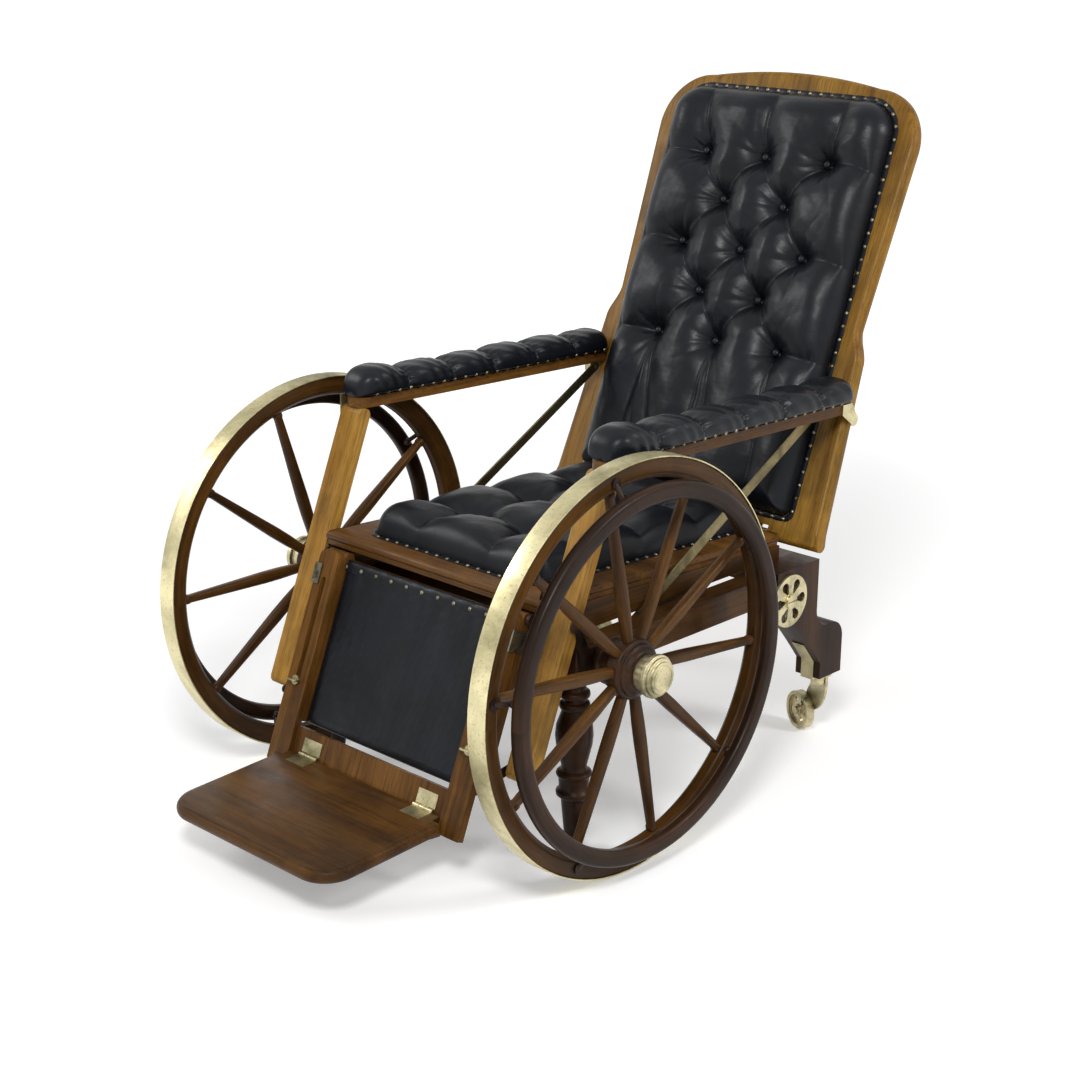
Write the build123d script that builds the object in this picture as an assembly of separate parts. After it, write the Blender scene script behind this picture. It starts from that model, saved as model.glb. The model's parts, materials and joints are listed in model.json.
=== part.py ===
from build123d import *
import math
import os

# A reclining invalid chair on two spoked wheels. Lengths are in millimetres and angles in degrees.
# The front is -Y, the sitter's left is +X, and up is +Z. Each piece is first built with the wheel
# axle over y = 0, and at the end the whole chair is moved so that the origin is on the floor
# under the middle of its bounding box.

os.makedirs("parts", exist_ok=True)

# Clearances and the overrun of every cut
overrun = 3.0
running_gap = 0.05
sliding_gap = 0.3
open_pivot_gap = 0.6

# Wheels
wheel_radius = 330.0
tyre_width = 35.0
tyre_thickness = 2.5
tyre_inner_x = 340.0
felloe_depth = 32.0
felloe_width = 31.0
spoke_count = 10
spoke_root_radius = 9.5
spoke_tip_radius = 7.0
left_spoke_phase = 11.2
right_spoke_phase = 17.3
nave_inner_x = 306.0
nave_outer_x = 385.0
nave_radius = 48.0
nave_band_radius = 40.0
nave_neck_radius = 30.0
nave_belly_half_width = 13.0
nave_band_length = 14.0

# Hub cap, in steps from the nave outwards
cap_stem_radius = 28.0
cap_stem_length = 18.0
cap_flange_radius = 34.0
cap_flange_length = 8.0
cap_step_radius = 30.0
cap_step_length = 5.0
cap_face_radius = 25.0
cap_face_length = 5.0

# Handrim and its brackets
handrim_centre_x = 402.0
handrim_inset = 45.0
handrim_depth = 28.0
handrim_width = 20.0
handrim_rounding = 8.0
bracket_count = 5
bracket_rod_radius = 4.0
bracket_ball_radius = 6.5
bracket_foot_radius = 9.0
bracket_foot_length = 3.0

# Axle
axle_radius = 11.0
collar_radius = 15.5

# Seat frame rails
rail_inner_x = 256.0
rail_width = 40.0
rail_below_axle = 24.0
rail_above_axle = 26.0
front_rail_front_y = -16.0
front_rail_depth = 40.0
middle_rail_front_y = 240.0
middle_rail_depth = 40.0
rear_rail_depth = 66.0
rear_rail_ahead = 22.0
rail_edge_round = 2.0
bearer_inner_x = 207.0
bearer_width = 40.0
bearer_front_y = -65.0

# Turned front legs
front_leg_x = 279.0
block_side = 46.0
block_overhang = 6.0
block_corner_round = 2.0
leg_neck_radius = 17.0
leg_ring_radius = 24.0
leg_ring_height = 9.0
leg_vase_radius = 30.0
leg_vase_drop = 92.0
leg_vase_top_radius = 19.0
leg_vase_foot_radius = 21.0
leg_vase_foot_drop = 140.0
leg_collar_radius = 28.0
leg_collar_drop = 153.0
leg_drum_radius = 24.0
leg_drum_top_drop = 157.0
leg_drum_bottom_drop = 182.0
leg_taper_top_radius = 21.0
leg_taper_top_drop = 193.0
leg_foot_radius = 10.0
leg_foot_z = 4.0

# Sabre rear legs, with their places behind the seat board's rear edge
rear_leg_inner_x = 248.0
rear_leg_width = 52.0
rear_leg_front_behind = -72.0
rear_leg_back_behind = 44.0
rear_leg_knee_behind = -9.0
rear_leg_knee_share = 0.64
rear_foot_front_behind = 62.0
rear_foot_back_behind = 124.0
rear_foot_z = 128.0
rear_foot_height = 66.0
rear_toe_height = 30.0
rear_leg_bend_drop = 44.0

# Casters under the rear legs
caster_axis_x = 274.0
caster_axis_behind = 94.0
caster_plate_radius = 25.0
caster_plate_thickness = 4.0
caster_strap_width = 26.0
caster_strap_height = 70.0
caster_strap_thickness = 2.5
caster_pin_radius = 6.0
caster_pin_length = 26.0
caster_wheel_radius = 35.0
caster_wheel_width = 16.0
caster_rim_depth = 7.0
caster_boss_radius = 10.0
caster_web_thickness = 6.0
caster_hole_count = 6
caster_hole_radius = 5.0
caster_trail = 51.0
caster_trail_angle = 158.9
caster_axle_radius = 4.0
caster_cheek_thickness = 5.0
caster_crown_top_gap = 0.4
caster_crown_height = 18.0
caster_horn_width = 26.0

# Brass hand wheels on the rear legs
hand_wheel_radius = 46.0
hand_wheel_behind = -41.0
hand_wheel_drop = 4.0
hand_wheel_thickness = 5.0
hand_wheel_boss_radius = 13.0
hand_wheel_boss_length = 4.0
hand_wheel_hole_count = 6
hand_wheel_hole_radius = 8.5
hand_wheel_hole_circle = 31.0
hand_wheel_hole_root = 17.0
hand_wheel_hole_root_radius = 3.0
hand_wheel_stud_radius = 5.0
hand_wheel_stud_length = 22.0
hand_wheel_slot_width = 2.5

# The lean that the back, the posts and the leg rest share at rest
lean = 21.7
pivot_radius = 5.0
back_pivot_rise = 26.0
back_pivot_behind = 35.0
post_pivot_rise = 43.5
post_pivot_y = -65.0

# Reclining back
back_thickness = 24.0
back_bottom_half_width = 308.0
back_hip_half_width = 289.0
back_hip_length = 316.0
back_waist_half_width = 270.0
back_waist_length = 376.0
back_shoulder_half_width = 283.0
back_shoulder_radius = 100.0
back_height = 807.0
back_crest_rise = 16.0
back_edge_round = 4.0
back_pad_half_width = 236.0
back_pad_bottom = 34.0
back_pad_top = 764.0
back_pad_corner = 60.0
back_pad_edge_height = 28.0
back_pad_crown = 54.0
button_radius = 9.0
button_height = 6.0
button_sink = 15.0
button_row_count = 5
button_row_pitch = 84.5
button_rows_top = 643.0
button_column_pitch = 67.0
pleat_radius = 5.0
pleat_sink = 3.0
stud_radius = 3.2
stud_height = 2.4
back_stud_pitch = 24.0
back_stud_margin = 7.0

# Butt hinges under the back
back_hinge_x = 170.0
back_hinge_length = 60.0
back_hinge_knuckle_radius = 6.5
back_hinge_pin_radius = 3.0
back_hinge_leaf_thickness = 4.0
back_hinge_leaf_depth = 36.0
back_hinge_pocket_rise = 12.0

# Arms
arm_inner_x = 254.0
arm_width = 48.0
arm_underside_rise = 245.5
arm_rail_height = 18.0
arm_front_y = 9.0
arm_rear_inset = 8.5
arm_rail_end_radius = 20.0
arm_pad_inner_x = 242.0
arm_pad_width = 72.0
arm_pad_front_y = 7.0
arm_pad_rear_inset = 2.0
arm_pad_height = 44.0
arm_puff_count = 6
arm_seam_share = 0.9
arm_ear_thickness = 3.0
arm_ear_radius = 11.0
arm_ear_root_length = 26.0
arm_pin_depth = 42.0

# Front posts
post_side_gap = 0.5
post_depth = 24.0
post_top_gap = 0.5
post_tail_short = 38.0
bracket_plate_thickness = 3.0
bracket_eye_radius = 11.0
bracket_root_y = -36.0
bracket_root_drop = 46.0

# Sliding brass stays
stay_plane_x = 249.0
stay_thickness = 4.0
stay_width = 16.0
stay_top_inset = 34.0
stay_top_drop = 6.0
stay_clamp_y = 112.0
stay_clamp_rise = 6.0
stay_tail_length = 90.0
stay_pin_radius = 4.0
stay_swing = 13.3
stay_clamp_slack = 2.7
stay_clamp_length = 16.0
stay_clamp_lip = 5.0
stay_clamp_cover = 3.0
stay_lug_length = 20.0
stay_lug_width = 14.0

# Leg rest frame
leg_pivot_y = -88.0
leg_pivot_rise = 40.0
leg_bracket_inner_x = 230.0
leg_bracket_thickness = 6.0
leg_bracket_eye_radius = 10.0
leg_bracket_root_height = 34.0
leg_pin_depth = 22.0
leg_stile_inner_x = 180.0
leg_stile_width = 46.0
leg_frame_thickness = 21.0
leg_frame_length = 277.0
leg_rail_length = 24.0
leg_panel_thickness = 11.0
leg_panel_crown = 6.0
leg_stud_pitch = 36.0
leg_stud_margin = 12.0

# Sliding carrier of the footboard
slide_board_thickness = 13.7
slide_board_top = 8.0
slide_board_extra = 83.0
slide_slot_top = -38.0
slide_slot_short = 93.0
slide_slot_width = 10.0
thumb_screw_up_slot = 8.0
thumb_stem_radius = 4.0
thumb_stem_depth = 15.0
thumb_head_radius = 8.0
thumb_head_height = 4.0
thumb_wing_length = 22.0
thumb_wing_height = 12.0
thumb_wing_thickness = 3.0
guide_top = -18.0
guide_length = 34.0
guide_thickness = 2.5
guide_lip = 14.0
foot_rail_gap = 8.0
foot_rail_length = 50.0
foot_rail_thickness = 12.0
foot_rail_recess = 9.5

# Links between the posts and the leg rest
link_inner_x = 246.5
link_thickness = 4.0
link_width = 15.0
link_pin_radius = 4.0
link_pin_depth = 16.0

# Footboard
foot_hinge_up_rail = 9.9
foot_hinge_forward = 19.0
foot_hinge_x = 136.0
foot_hinge_length = 43.0
foot_hinge_leaf = 27.0
foot_hinge_knuckle_radius = 3.4
foot_hinge_pin_radius = 1.4
foot_hinge_leaf_thickness = 1.3
footboard_half_width = 194.0
footboard_tongue_half_width = 177.0
footboard_tongue_length = 17.0
footboard_length = 247.0
footboard_thickness = 21.0
footboard_corner = 56.0
footboard_dip = 2.3
footboard_edge_round = 4.0

# Seat board and cushion
seat_half_width = 247.0
seat_front_y = -82.0
seat_front_rise = 74.0
seat_slope = 2.86
seat_thickness = 22.0
seat_edge_round = 5.0
cushion_half_width = 195.0
cushion_front = 44.0
cushion_length = 536.0
cushion_rear_margin = 14.74
cushion_corner = 34.0
cushion_edge_height = 32.0
cushion_crown = 60.0
cushion_tuft_pitch = 143.0
cushion_tuft_x = 65.0
cushion_tuft_rows = 3
tuft_mouth_radius = 22.0
tuft_depth = 20.0
seat_stud_pitch = 21.0

# Places worked out from the sizes above
lean_sine = math.sin(math.radians(lean))
lean_cosine = math.cos(math.radians(lean))
slope_cosine = math.cos(math.radians(seat_slope))
handrim_radius = wheel_radius - handrim_inset
rail_outer_x = rail_inner_x + rail_width
rail_bottom_z = wheel_radius - rail_below_axle
rail_top_z = wheel_radius + rail_above_axle
block_bottom_z = rail_bottom_z - block_overhang
seat_board_length = cushion_front + cushion_length + cushion_rear_margin
seat_rear_y = seat_front_y + seat_board_length * slope_cosine
seat_front_top_z = rail_top_z + seat_front_rise
rear_rail_front_y = seat_rear_y - rear_rail_ahead
rear_leg_front_y = seat_rear_y + rear_leg_front_behind
rear_leg_back_y = seat_rear_y + rear_leg_back_behind
rear_leg_knee_y = seat_rear_y + rear_leg_knee_behind
rear_leg_height = rail_bottom_z - rear_foot_z
rear_leg_knee_z = rear_foot_z + rear_leg_height * rear_leg_knee_share
rear_foot_front_y = seat_rear_y + rear_foot_front_behind
rear_foot_back_y = seat_rear_y + rear_foot_back_behind
caster_axis_y = seat_rear_y + caster_axis_behind
hand_wheel_y = seat_rear_y + hand_wheel_behind
hand_wheel_z = rail_bottom_z - hand_wheel_drop
back_pivot_z = rail_top_z + back_pivot_rise
post_pivot_z = rail_top_z + post_pivot_rise
leg_pivot_z = rail_top_z + leg_pivot_rise
back_pivot_y = seat_rear_y + back_pivot_behind
arm_outer_x = arm_inner_x + arm_width
arm_underside_z = rail_top_z + arm_underside_rise
stay_clamp_z = wheel_radius + stay_clamp_rise
post_tail_length = leg_frame_length - post_tail_short
slide_board_length = leg_frame_length + slide_board_extra
slide_slot_length = leg_frame_length - slide_slot_short
upper_pivot_z = arm_underside_z - post_top_gap - post_depth / 2
link_arm = (upper_pivot_z - back_pivot_z) / lean_cosine
back_pivot = Vector(0, back_pivot_y, back_pivot_z)
post_pivot = Vector(0, post_pivot_y, post_pivot_z)
leg_pivot = Vector(0, leg_pivot_y, leg_pivot_z)
lean_rise = Vector(0, link_arm * lean_sine, link_arm * lean_cosine)
arm_pivot = back_pivot + lean_rise
post_top = post_pivot + lean_rise
arm_span = (back_pivot - post_pivot).length
arm_tilt = math.degrees(math.asin((post_pivot_z - back_pivot_z) / arm_span))
arm_ear_y = arm_pivot.Y - arm_span
arm_rear_y = arm_pivot.Y - arm_rear_inset
arm_pad_rear_y = arm_pivot.Y - arm_pad_rear_inset
stay_top_y = arm_rear_y - stay_top_inset
stay_top_z = arm_underside_z - stay_top_drop
spoke_x = tyre_inner_x + tyre_width / 2
felloe_outer_radius = wheel_radius - tyre_thickness
felloe_inner_radius = felloe_outer_radius - felloe_depth
leg_front_face = leg_frame_thickness / 2 + sliding_gap + slide_board_thickness


def limits(x, y, z):
    """A box between three pairs of limits."""
    solid = Box(x[1] - x[0], y[1] - y[0], z[1] - z[0])
    return Pos((x[0] + x[1]) / 2, (y[0] + y[1]) / 2, (z[0] + z[1]) / 2) * solid


def rod(start, end, radius):
    """A cylinder from one point to another."""
    start = Vector(*start)
    path = Vector(*end) - start
    base = Plane(origin=start, z_dir=path)
    return base * extrude(Circle(radius), amount=path.length)


def leaned(pivot):
    """The plane of a leaning piece: X across, Y up the slope and Z out of its front face."""
    return Plane(origin=pivot, x_dir=(1, 0, 0), z_dir=(0, -lean_cosine, lean_sine))


def side_profile(face_lines, inner_x, width):
    """A plate drawn in Y and Z, standing from inner_x outwards along X."""
    plane = Plane(origin=(inner_x, 0, 0), x_dir=(0, 1, 0), z_dir=(1, 0, 0))
    return plane * extrude(make_face(face_lines), amount=width)


def both_sides(solids):
    """The given solids and their mirror images across the middle of the chair."""
    near = list(solids)
    return near + [mirror(solid, about=Plane.YZ) for solid in near]


def mirrored(solid):
    """The mirror image across the middle of the chair."""
    return mirror(solid, about=Plane.YZ)


def on_wheel(solid):
    """A piece built round the X axis, lifted to the wheel's axle."""
    return Pos(0, 0, wheel_radius) * solid


def turned_on_x(outline):
    """A piece turned on the X axis, from an outline of (x, radius) points."""
    return revolve(make_face(Polyline(*outline, close=True)), axis=Axis.X)


def ring_on_x(inner_x, width, inner_radius, outer_radius):
    """A plain ring round the X axis."""
    return turned_on_x([
        (inner_x, inner_radius),
        (inner_x + width, inner_radius),
        (inner_x + width, outer_radius),
        (inner_x, outer_radius),
    ])


def around_wheel(solid, count, phase):
    """Copies of a solid spaced evenly round the X axis, from the phase angle on."""
    return [Rot(X=phase + 360 * index / count) * solid for index in range(count)]


# Wheels


def make_tyre():
    ring = ring_on_x(tyre_inner_x, tyre_width, felloe_outer_radius, wheel_radius)
    return on_wheel(ring)


def make_felloe():
    inner_x = spoke_x - felloe_width / 2
    outer_x = spoke_x + felloe_width / 2
    quarter = felloe_width / 4
    ring = turned_on_x([
        (inner_x, felloe_outer_radius),
        (inner_x, felloe_inner_radius + quarter),
        (inner_x + quarter, felloe_inner_radius),
        (outer_x - quarter, felloe_inner_radius),
        (outer_x, felloe_inner_radius + quarter),
        (outer_x, felloe_outer_radius),
    ])
    return on_wheel(ring)


def make_spokes(phase):
    length = felloe_inner_radius - nave_radius
    root = Pos(spoke_x, 0, nave_radius - overrun)
    waist = Pos(spoke_x, 0, nave_radius + length / 3)
    tip = Pos(spoke_x, 0, felloe_inner_radius + overrun)
    lower = loft([
        root * Circle(spoke_tip_radius),
        waist * Circle(spoke_root_radius),
    ])
    upper = loft([
        waist * Circle(spoke_root_radius),
        tip * Circle(spoke_tip_radius),
    ])
    beyond = ring_on_x(spoke_x - felloe_width / 2, felloe_width, felloe_inner_radius, wheel_radius)
    spoke = lower + upper - make_nave_blank() - beyond
    return [on_wheel(copy) for copy in around_wheel(spoke, spoke_count, phase)]


def make_nave_blank():
    belly_inner_x = spoke_x - nave_belly_half_width
    belly_outer_x = spoke_x + nave_belly_half_width
    return turned_on_x([
        (nave_inner_x, 0),
        (nave_inner_x, nave_neck_radius),
        (belly_inner_x - nave_band_length, nave_band_radius),
        (belly_inner_x, nave_band_radius),
        (belly_inner_x, nave_radius),
        (belly_outer_x, nave_radius),
        (belly_outer_x, nave_band_radius),
        (nave_outer_x, nave_neck_radius),
        (nave_outer_x, 0),
    ])


def make_nave():
    bore = rod((nave_inner_x - overrun, 0, 0), (nave_outer_x + overrun, 0, 0), axle_radius + running_gap)
    return on_wheel(make_nave_blank() - bore)


def make_hub_cap():
    stem_end = nave_outer_x + cap_stem_length
    flange_end = stem_end + cap_flange_length
    step_end = flange_end + cap_step_length
    face_end = step_end + cap_face_length
    cap = turned_on_x([
        (nave_outer_x, 0),
        (nave_outer_x, cap_stem_radius),
        (stem_end, cap_stem_radius),
        (stem_end, cap_flange_radius),
        (flange_end, cap_flange_radius),
        (flange_end, cap_step_radius),
        (step_end, cap_step_radius),
        (step_end, cap_face_radius),
        (face_end, cap_face_radius),
        (face_end, 0),
    ])
    return on_wheel(cap)


def make_handrim():
    section = Pos(handrim_centre_x, handrim_radius) * RectangleRounded(
        handrim_width, handrim_depth, handrim_rounding
    )
    return on_wheel(revolve(section, axis=Axis.X))


def make_handrim_brackets(phase):
    foot_x = spoke_x + felloe_width / 2
    foot_radius = felloe_inner_radius + felloe_depth / 2
    end_x = handrim_centre_x - handrim_width / 2
    ball_x = end_x - bracket_ball_radius
    foot = rod((foot_x, 0, foot_radius), (foot_x + bracket_foot_length, 0, foot_radius), bracket_foot_radius)
    stem = rod((foot_x, 0, foot_radius), (ball_x, 0, handrim_radius), bracket_rod_radius)
    ball = Pos(ball_x, 0, handrim_radius) * Sphere(bracket_ball_radius)
    seat = rod((ball_x, 0, handrim_radius), (end_x, 0, handrim_radius), bracket_rod_radius)
    felloe_side = limits(
        (foot_x - bracket_ball_radius, foot_x),
        (-bracket_foot_radius, bracket_foot_radius),
        (handrim_radius - bracket_foot_radius, wheel_radius),
    )
    bracket = foot + stem + ball + seat - felloe_side
    return [on_wheel(copy) for copy in around_wheel(bracket, bracket_count, phase)]


# Chassis


def make_axles():
    start = (rail_inner_x, 0, wheel_radius)
    end = (nave_outer_x - sliding_gap, 0, wheel_radius)
    return both_sides([rod(start, end, axle_radius)])


def make_axle_collars():
    collar = ring_on_x(
        rail_outer_x,
        nave_inner_x - rail_outer_x - sliding_gap,
        axle_radius + running_gap,
        collar_radius,
    )
    return both_sides([on_wheel(collar)])


def make_frame_rails():
    heights = (rail_bottom_z, rail_top_z)
    side = limits((rail_inner_x, rail_outer_x), (front_rail_front_y, rear_leg_front_y), heights)
    side = fillet(side.edges().filter_by(Axis.Y), radius=rail_edge_round)
    bore = rod(
        (rail_inner_x - overrun, 0, wheel_radius),
        (rail_outer_x + overrun, 0, wheel_radius),
        axle_radius + running_gap,
    )
    sides = both_sides([side - bore])
    across = (-rail_inner_x, rail_inner_x)
    front = limits(across, (front_rail_front_y, front_rail_front_y + front_rail_depth), heights)
    middle = limits(across, (middle_rail_front_y, middle_rail_front_y + middle_rail_depth), heights)
    between_legs = (-rear_leg_inner_x, rear_leg_inner_x)
    rear = limits(between_legs, (rear_rail_front_y, rear_rail_front_y + rear_rail_depth), heights)
    return sides + [front, middle, rear]


def seat_plane():
    """The top of the seat board: X across, Y towards the rear and Z out of the top face."""
    front = Vector(0, seat_front_y, seat_front_top_z)
    return Plane(front) * Rot(X=-seat_slope)


def make_seat_bearers():
    length = seat_board_length
    inner = (bearer_inner_x, bearer_inner_x + bearer_width)
    bearer = limits(inner, (bearer_front_y, seat_rear_y), (rail_top_z, seat_front_top_z))
    above = limits(
        (bearer_inner_x - overrun, bearer_inner_x + bearer_width + overrun),
        (-length, length + length),
        (-seat_thickness, seat_front_top_z),
    )
    return both_sides([bearer - seat_plane() * above])


def make_front_legs():
    taper_top_z = block_bottom_z - leg_taper_top_drop
    drum_bottom_z = block_bottom_z - leg_drum_bottom_drop
    drum_top_z = block_bottom_z - leg_drum_top_drop
    collar_z = block_bottom_z - leg_collar_drop
    vase_foot_z = block_bottom_z - leg_vase_foot_drop
    leg = Polyline(
        (0, leg_foot_z),
        (leg_foot_radius, leg_foot_z),
        (leg_taper_top_radius, taper_top_z),
        (leg_collar_radius, taper_top_z),
        (leg_collar_radius, drum_bottom_z),
        (leg_drum_radius, drum_bottom_z),
        (leg_drum_radius, drum_top_z),
        (leg_collar_radius, drum_top_z),
        (leg_collar_radius, collar_z),
        (leg_vase_foot_radius, collar_z),
        (leg_vase_foot_radius, vase_foot_z),
    )
    vase_top_z = block_bottom_z - leg_ring_height * 5
    vase = ThreePointArc(
        (leg_vase_foot_radius, vase_foot_z),
        (leg_vase_radius, block_bottom_z - leg_vase_drop),
        (leg_vase_top_radius, vase_top_z),
    )
    upper = Polyline(
        (leg_vase_top_radius, vase_top_z),
        (leg_ring_radius, vase_top_z),
        (leg_ring_radius, vase_top_z + leg_ring_height),
        (leg_neck_radius, vase_top_z + leg_ring_height),
        (leg_neck_radius, vase_top_z + leg_ring_height * 2),
        (leg_ring_radius, vase_top_z + leg_ring_height * 2),
        (leg_ring_radius, vase_top_z + leg_ring_height * 3),
        (leg_neck_radius, vase_top_z + leg_ring_height * 3),
        (leg_neck_radius, block_bottom_z),
        (0, block_bottom_z),
        (0, leg_foot_z),
    )
    outline = make_face(Curve() + leg + vase + upper)
    turning = revolve(Plane.XZ * outline, axis=Axis.Z)
    block = limits(
        (-block_side / 2, block_side / 2),
        (-block_side / 2, block_side / 2),
        (block_bottom_z, rail_top_z),
    )
    block = fillet(block.edges().filter_by(Axis.Z), radius=block_corner_round)
    middle_y = front_rail_front_y - block_side / 2
    return both_sides([Pos(front_leg_x, middle_y, 0) * (turning + block)])


def rear_leg_blank():
    foot_top_z = rear_foot_z + rear_foot_height
    front_top = (rear_leg_front_y, rail_top_z)
    front_low = (rear_leg_front_y, rail_bottom_z)
    knee = (rear_leg_knee_y, rear_leg_knee_z)
    toe = (rear_foot_front_y, rear_foot_z)
    toe_top = (rear_foot_front_y, rear_foot_z + rear_toe_height)
    heel = (rear_foot_back_y, rear_foot_z)
    heel_top = (rear_foot_back_y, foot_top_z)
    bend = (rear_leg_back_y, rail_bottom_z - rear_leg_bend_drop)
    middle = ((rear_foot_back_y + rear_leg_back_y) / 2, (foot_top_z + bend[1]) / 2)
    back_top = (rear_leg_back_y, rail_top_z)
    outline = Curve() + [
        Line(front_top, front_low),
        ThreePointArc(front_low, knee, toe_top),
        Line(toe_top, toe),
        Line(toe, heel),
        Line(heel, heel_top),
        TangentArc(heel_top, middle, tangent=(0, 1)),
        TangentArc(bend, middle, tangent=(0, -1)),
        Line(bend, back_top),
        Line(back_top, front_top),
    ]
    return side_profile(outline, rear_leg_inner_x, rear_leg_width)


def make_rear_legs():
    leg = rear_leg_blank()
    swivel_bore = rod(
        (caster_axis_x, caster_axis_y, rear_foot_z - overrun),
        (caster_axis_x, caster_axis_y, rear_foot_z + caster_pin_length),
        caster_pin_radius + running_gap,
    )
    stud_bore = rod(
        (rear_leg_inner_x + rear_leg_width - hand_wheel_stud_length, hand_wheel_y, hand_wheel_z),
        (rear_leg_inner_x + rear_leg_width + overrun, hand_wheel_y, hand_wheel_z),
        hand_wheel_stud_radius + running_gap,
    )
    return both_sides([leg - swivel_bore - stud_bore])


def make_pivot_brackets():
    """Iron plates that carry the posts and the leg rest, with their pins."""
    outer_x = arm_outer_x
    post_plate = side_profile(
        Polyline(
            (bracket_root_y, rail_top_z),
            (post_pivot_y, post_pivot_z + bracket_eye_radius),
            (post_pivot_y - bracket_eye_radius, post_pivot_z),
            (post_pivot_y, post_pivot_z - bracket_eye_radius),
            (bracket_root_y - block_side / 3, rail_top_z - bracket_root_drop),
            (bracket_root_y, rail_top_z - bracket_root_drop),
            close=True,
        ),
        outer_x,
        bracket_plate_thickness,
    )
    post_eye = rod(
        (outer_x, post_pivot_y, post_pivot_z),
        (outer_x + bracket_plate_thickness, post_pivot_y, post_pivot_z),
        bracket_eye_radius,
    )
    post_pin = rod(
        (outer_x, post_pivot_y, post_pivot_z),
        (arm_inner_x + post_side_gap, post_pivot_y, post_pivot_z),
        pivot_radius,
    )
    leg_outer_x = leg_bracket_inner_x + leg_bracket_thickness
    leg_plate = side_profile(
        Polyline(
            (bearer_front_y, leg_pivot_z + leg_bracket_eye_radius),
            (leg_pivot_y, leg_pivot_z + leg_bracket_eye_radius),
            (leg_pivot_y, leg_pivot_z - leg_bracket_eye_radius),
            (bearer_front_y, leg_pivot_z - leg_bracket_root_height),
            close=True,
        ),
        leg_bracket_inner_x,
        leg_bracket_thickness,
    )
    leg_eye = rod(
        (leg_bracket_inner_x, leg_pivot_y, leg_pivot_z),
        (leg_outer_x, leg_pivot_y, leg_pivot_z),
        leg_bracket_eye_radius,
    )
    leg_pin = rod(
        (leg_outer_x, leg_pivot_y, leg_pivot_z),
        (leg_stile_inner_x + leg_stile_width - leg_pin_depth, leg_pivot_y, leg_pivot_z),
        pivot_radius,
    )
    return both_sides([post_plate + post_eye + post_pin, leg_plate + leg_eye + leg_pin])


def stay_top():
    """The pin under the tilted arm that carries the upper end of a stay."""
    back = stay_top_y - arm_pivot.Y
    up = stay_top_z - upper_pivot_z
    tilt = math.radians(arm_tilt)
    return Vector(
        0,
        arm_pivot.Y + back * math.cos(tilt) + up * math.sin(tilt),
        upper_pivot_z - back * math.sin(tilt) + up * math.cos(tilt),
    )


def make_stay_clamps():
    """Guides on the side rails through which the stays slide, set at the middle of their swing."""
    top = stay_top()
    rest_angle = math.degrees(math.atan2(top.Z - stay_clamp_z, top.Y - stay_clamp_y))
    angle = rest_angle - stay_swing / 2
    plane = Plane(
        origin=(0, stay_clamp_y, stay_clamp_z),
        x_dir=(1, 0, 0),
        z_dir=(0, -math.sin(math.radians(angle)), math.cos(math.radians(angle))),
    )
    half = stay_clamp_length / 2
    gap = stay_width / 2 + stay_clamp_slack
    cover_x = stay_plane_x - sliding_gap
    upper = limits((cover_x, rail_inner_x), (-half, half), (gap, gap + stay_clamp_lip))
    lower = limits((cover_x, rail_inner_x), (-half, half), (-gap - stay_clamp_lip, -gap))
    cover = limits(
        (cover_x - stay_clamp_cover, cover_x),
        (-half, half),
        (-gap - stay_clamp_lip, gap + stay_clamp_lip),
    )
    return both_sides([plane * (upper + lower + cover)])


def make_caster_plates():
    """A round plate under each rear foot, with a strap up the front of the foot."""
    plate_bottom_z = rear_foot_z - caster_plate_thickness
    plate = rod(
        (caster_axis_x, caster_axis_y, plate_bottom_z),
        (caster_axis_x, caster_axis_y, rear_foot_z),
        caster_plate_radius,
    )
    bore = rod(
        (caster_axis_x, caster_axis_y, plate_bottom_z - overrun),
        (caster_axis_x, caster_axis_y, rear_foot_z + overrun),
        caster_pin_radius + running_gap,
    )
    leg = rear_leg_blank()
    middle_x = rear_leg_inner_x + rear_leg_width / 2
    zone = limits(
        (middle_x - caster_strap_width / 2, middle_x + caster_strap_width / 2),
        (rear_leg_front_y, rear_foot_back_y),
        (plate_bottom_z, rear_foot_z + caster_strap_height),
    )
    strap = (Pos(0, -caster_strap_thickness, 0) * leg & zone) - leg
    toe = limits(
        (middle_x - caster_strap_width / 2, middle_x + caster_strap_width / 2),
        (rear_foot_front_y - caster_strap_thickness, caster_axis_y),
        (plate_bottom_z, rear_foot_z),
    )
    return both_sides([plate + toe + strap - bore])


def make_lower_back_hinges():
    """The fixed halves: a leaf on the rear rail, a web, two knuckles and the pin."""
    half = back_hinge_length / 2
    sixth = back_hinge_length / 6
    leaf_top_z = rail_top_z + back_hinge_leaf_thickness / 2
    rear_y = rear_rail_front_y + rear_rail_depth
    leaf = limits((-half, half), (rear_y - back_hinge_leaf_depth, rear_y), (rail_top_z, leaf_top_z))
    hinge = leaf
    for side in (-1, 1):
        ends = sorted((side * half, side * (sixth + sliding_gap)))
        web = limits(
            ends,
            (back_pivot_y - back_hinge_leaf_thickness / 2, back_pivot_y + back_hinge_leaf_thickness / 2),
            (rail_top_z, back_pivot_z),
        )
        knuckle = rod(
            (ends[0], back_pivot_y, back_pivot_z),
            (ends[1], back_pivot_y, back_pivot_z),
            back_hinge_knuckle_radius,
        )
        hinge = hinge + web + knuckle
    pin = rod(
        (-half, back_pivot_y, back_pivot_z),
        (half, back_pivot_y, back_pivot_z),
        back_hinge_pin_radius,
    )
    hinge = hinge + pin
    return [Pos(x, 0, 0) * hinge for x in (-back_hinge_x, 0, back_hinge_x)]


def make_seat_board():
    board = limits((-seat_half_width, seat_half_width), (0, seat_board_length), (-seat_thickness, 0))
    board = fillet(board.edges().group_by(Axis.Z)[-1], radius=seat_edge_round)
    return [seat_plane() * board]


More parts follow.
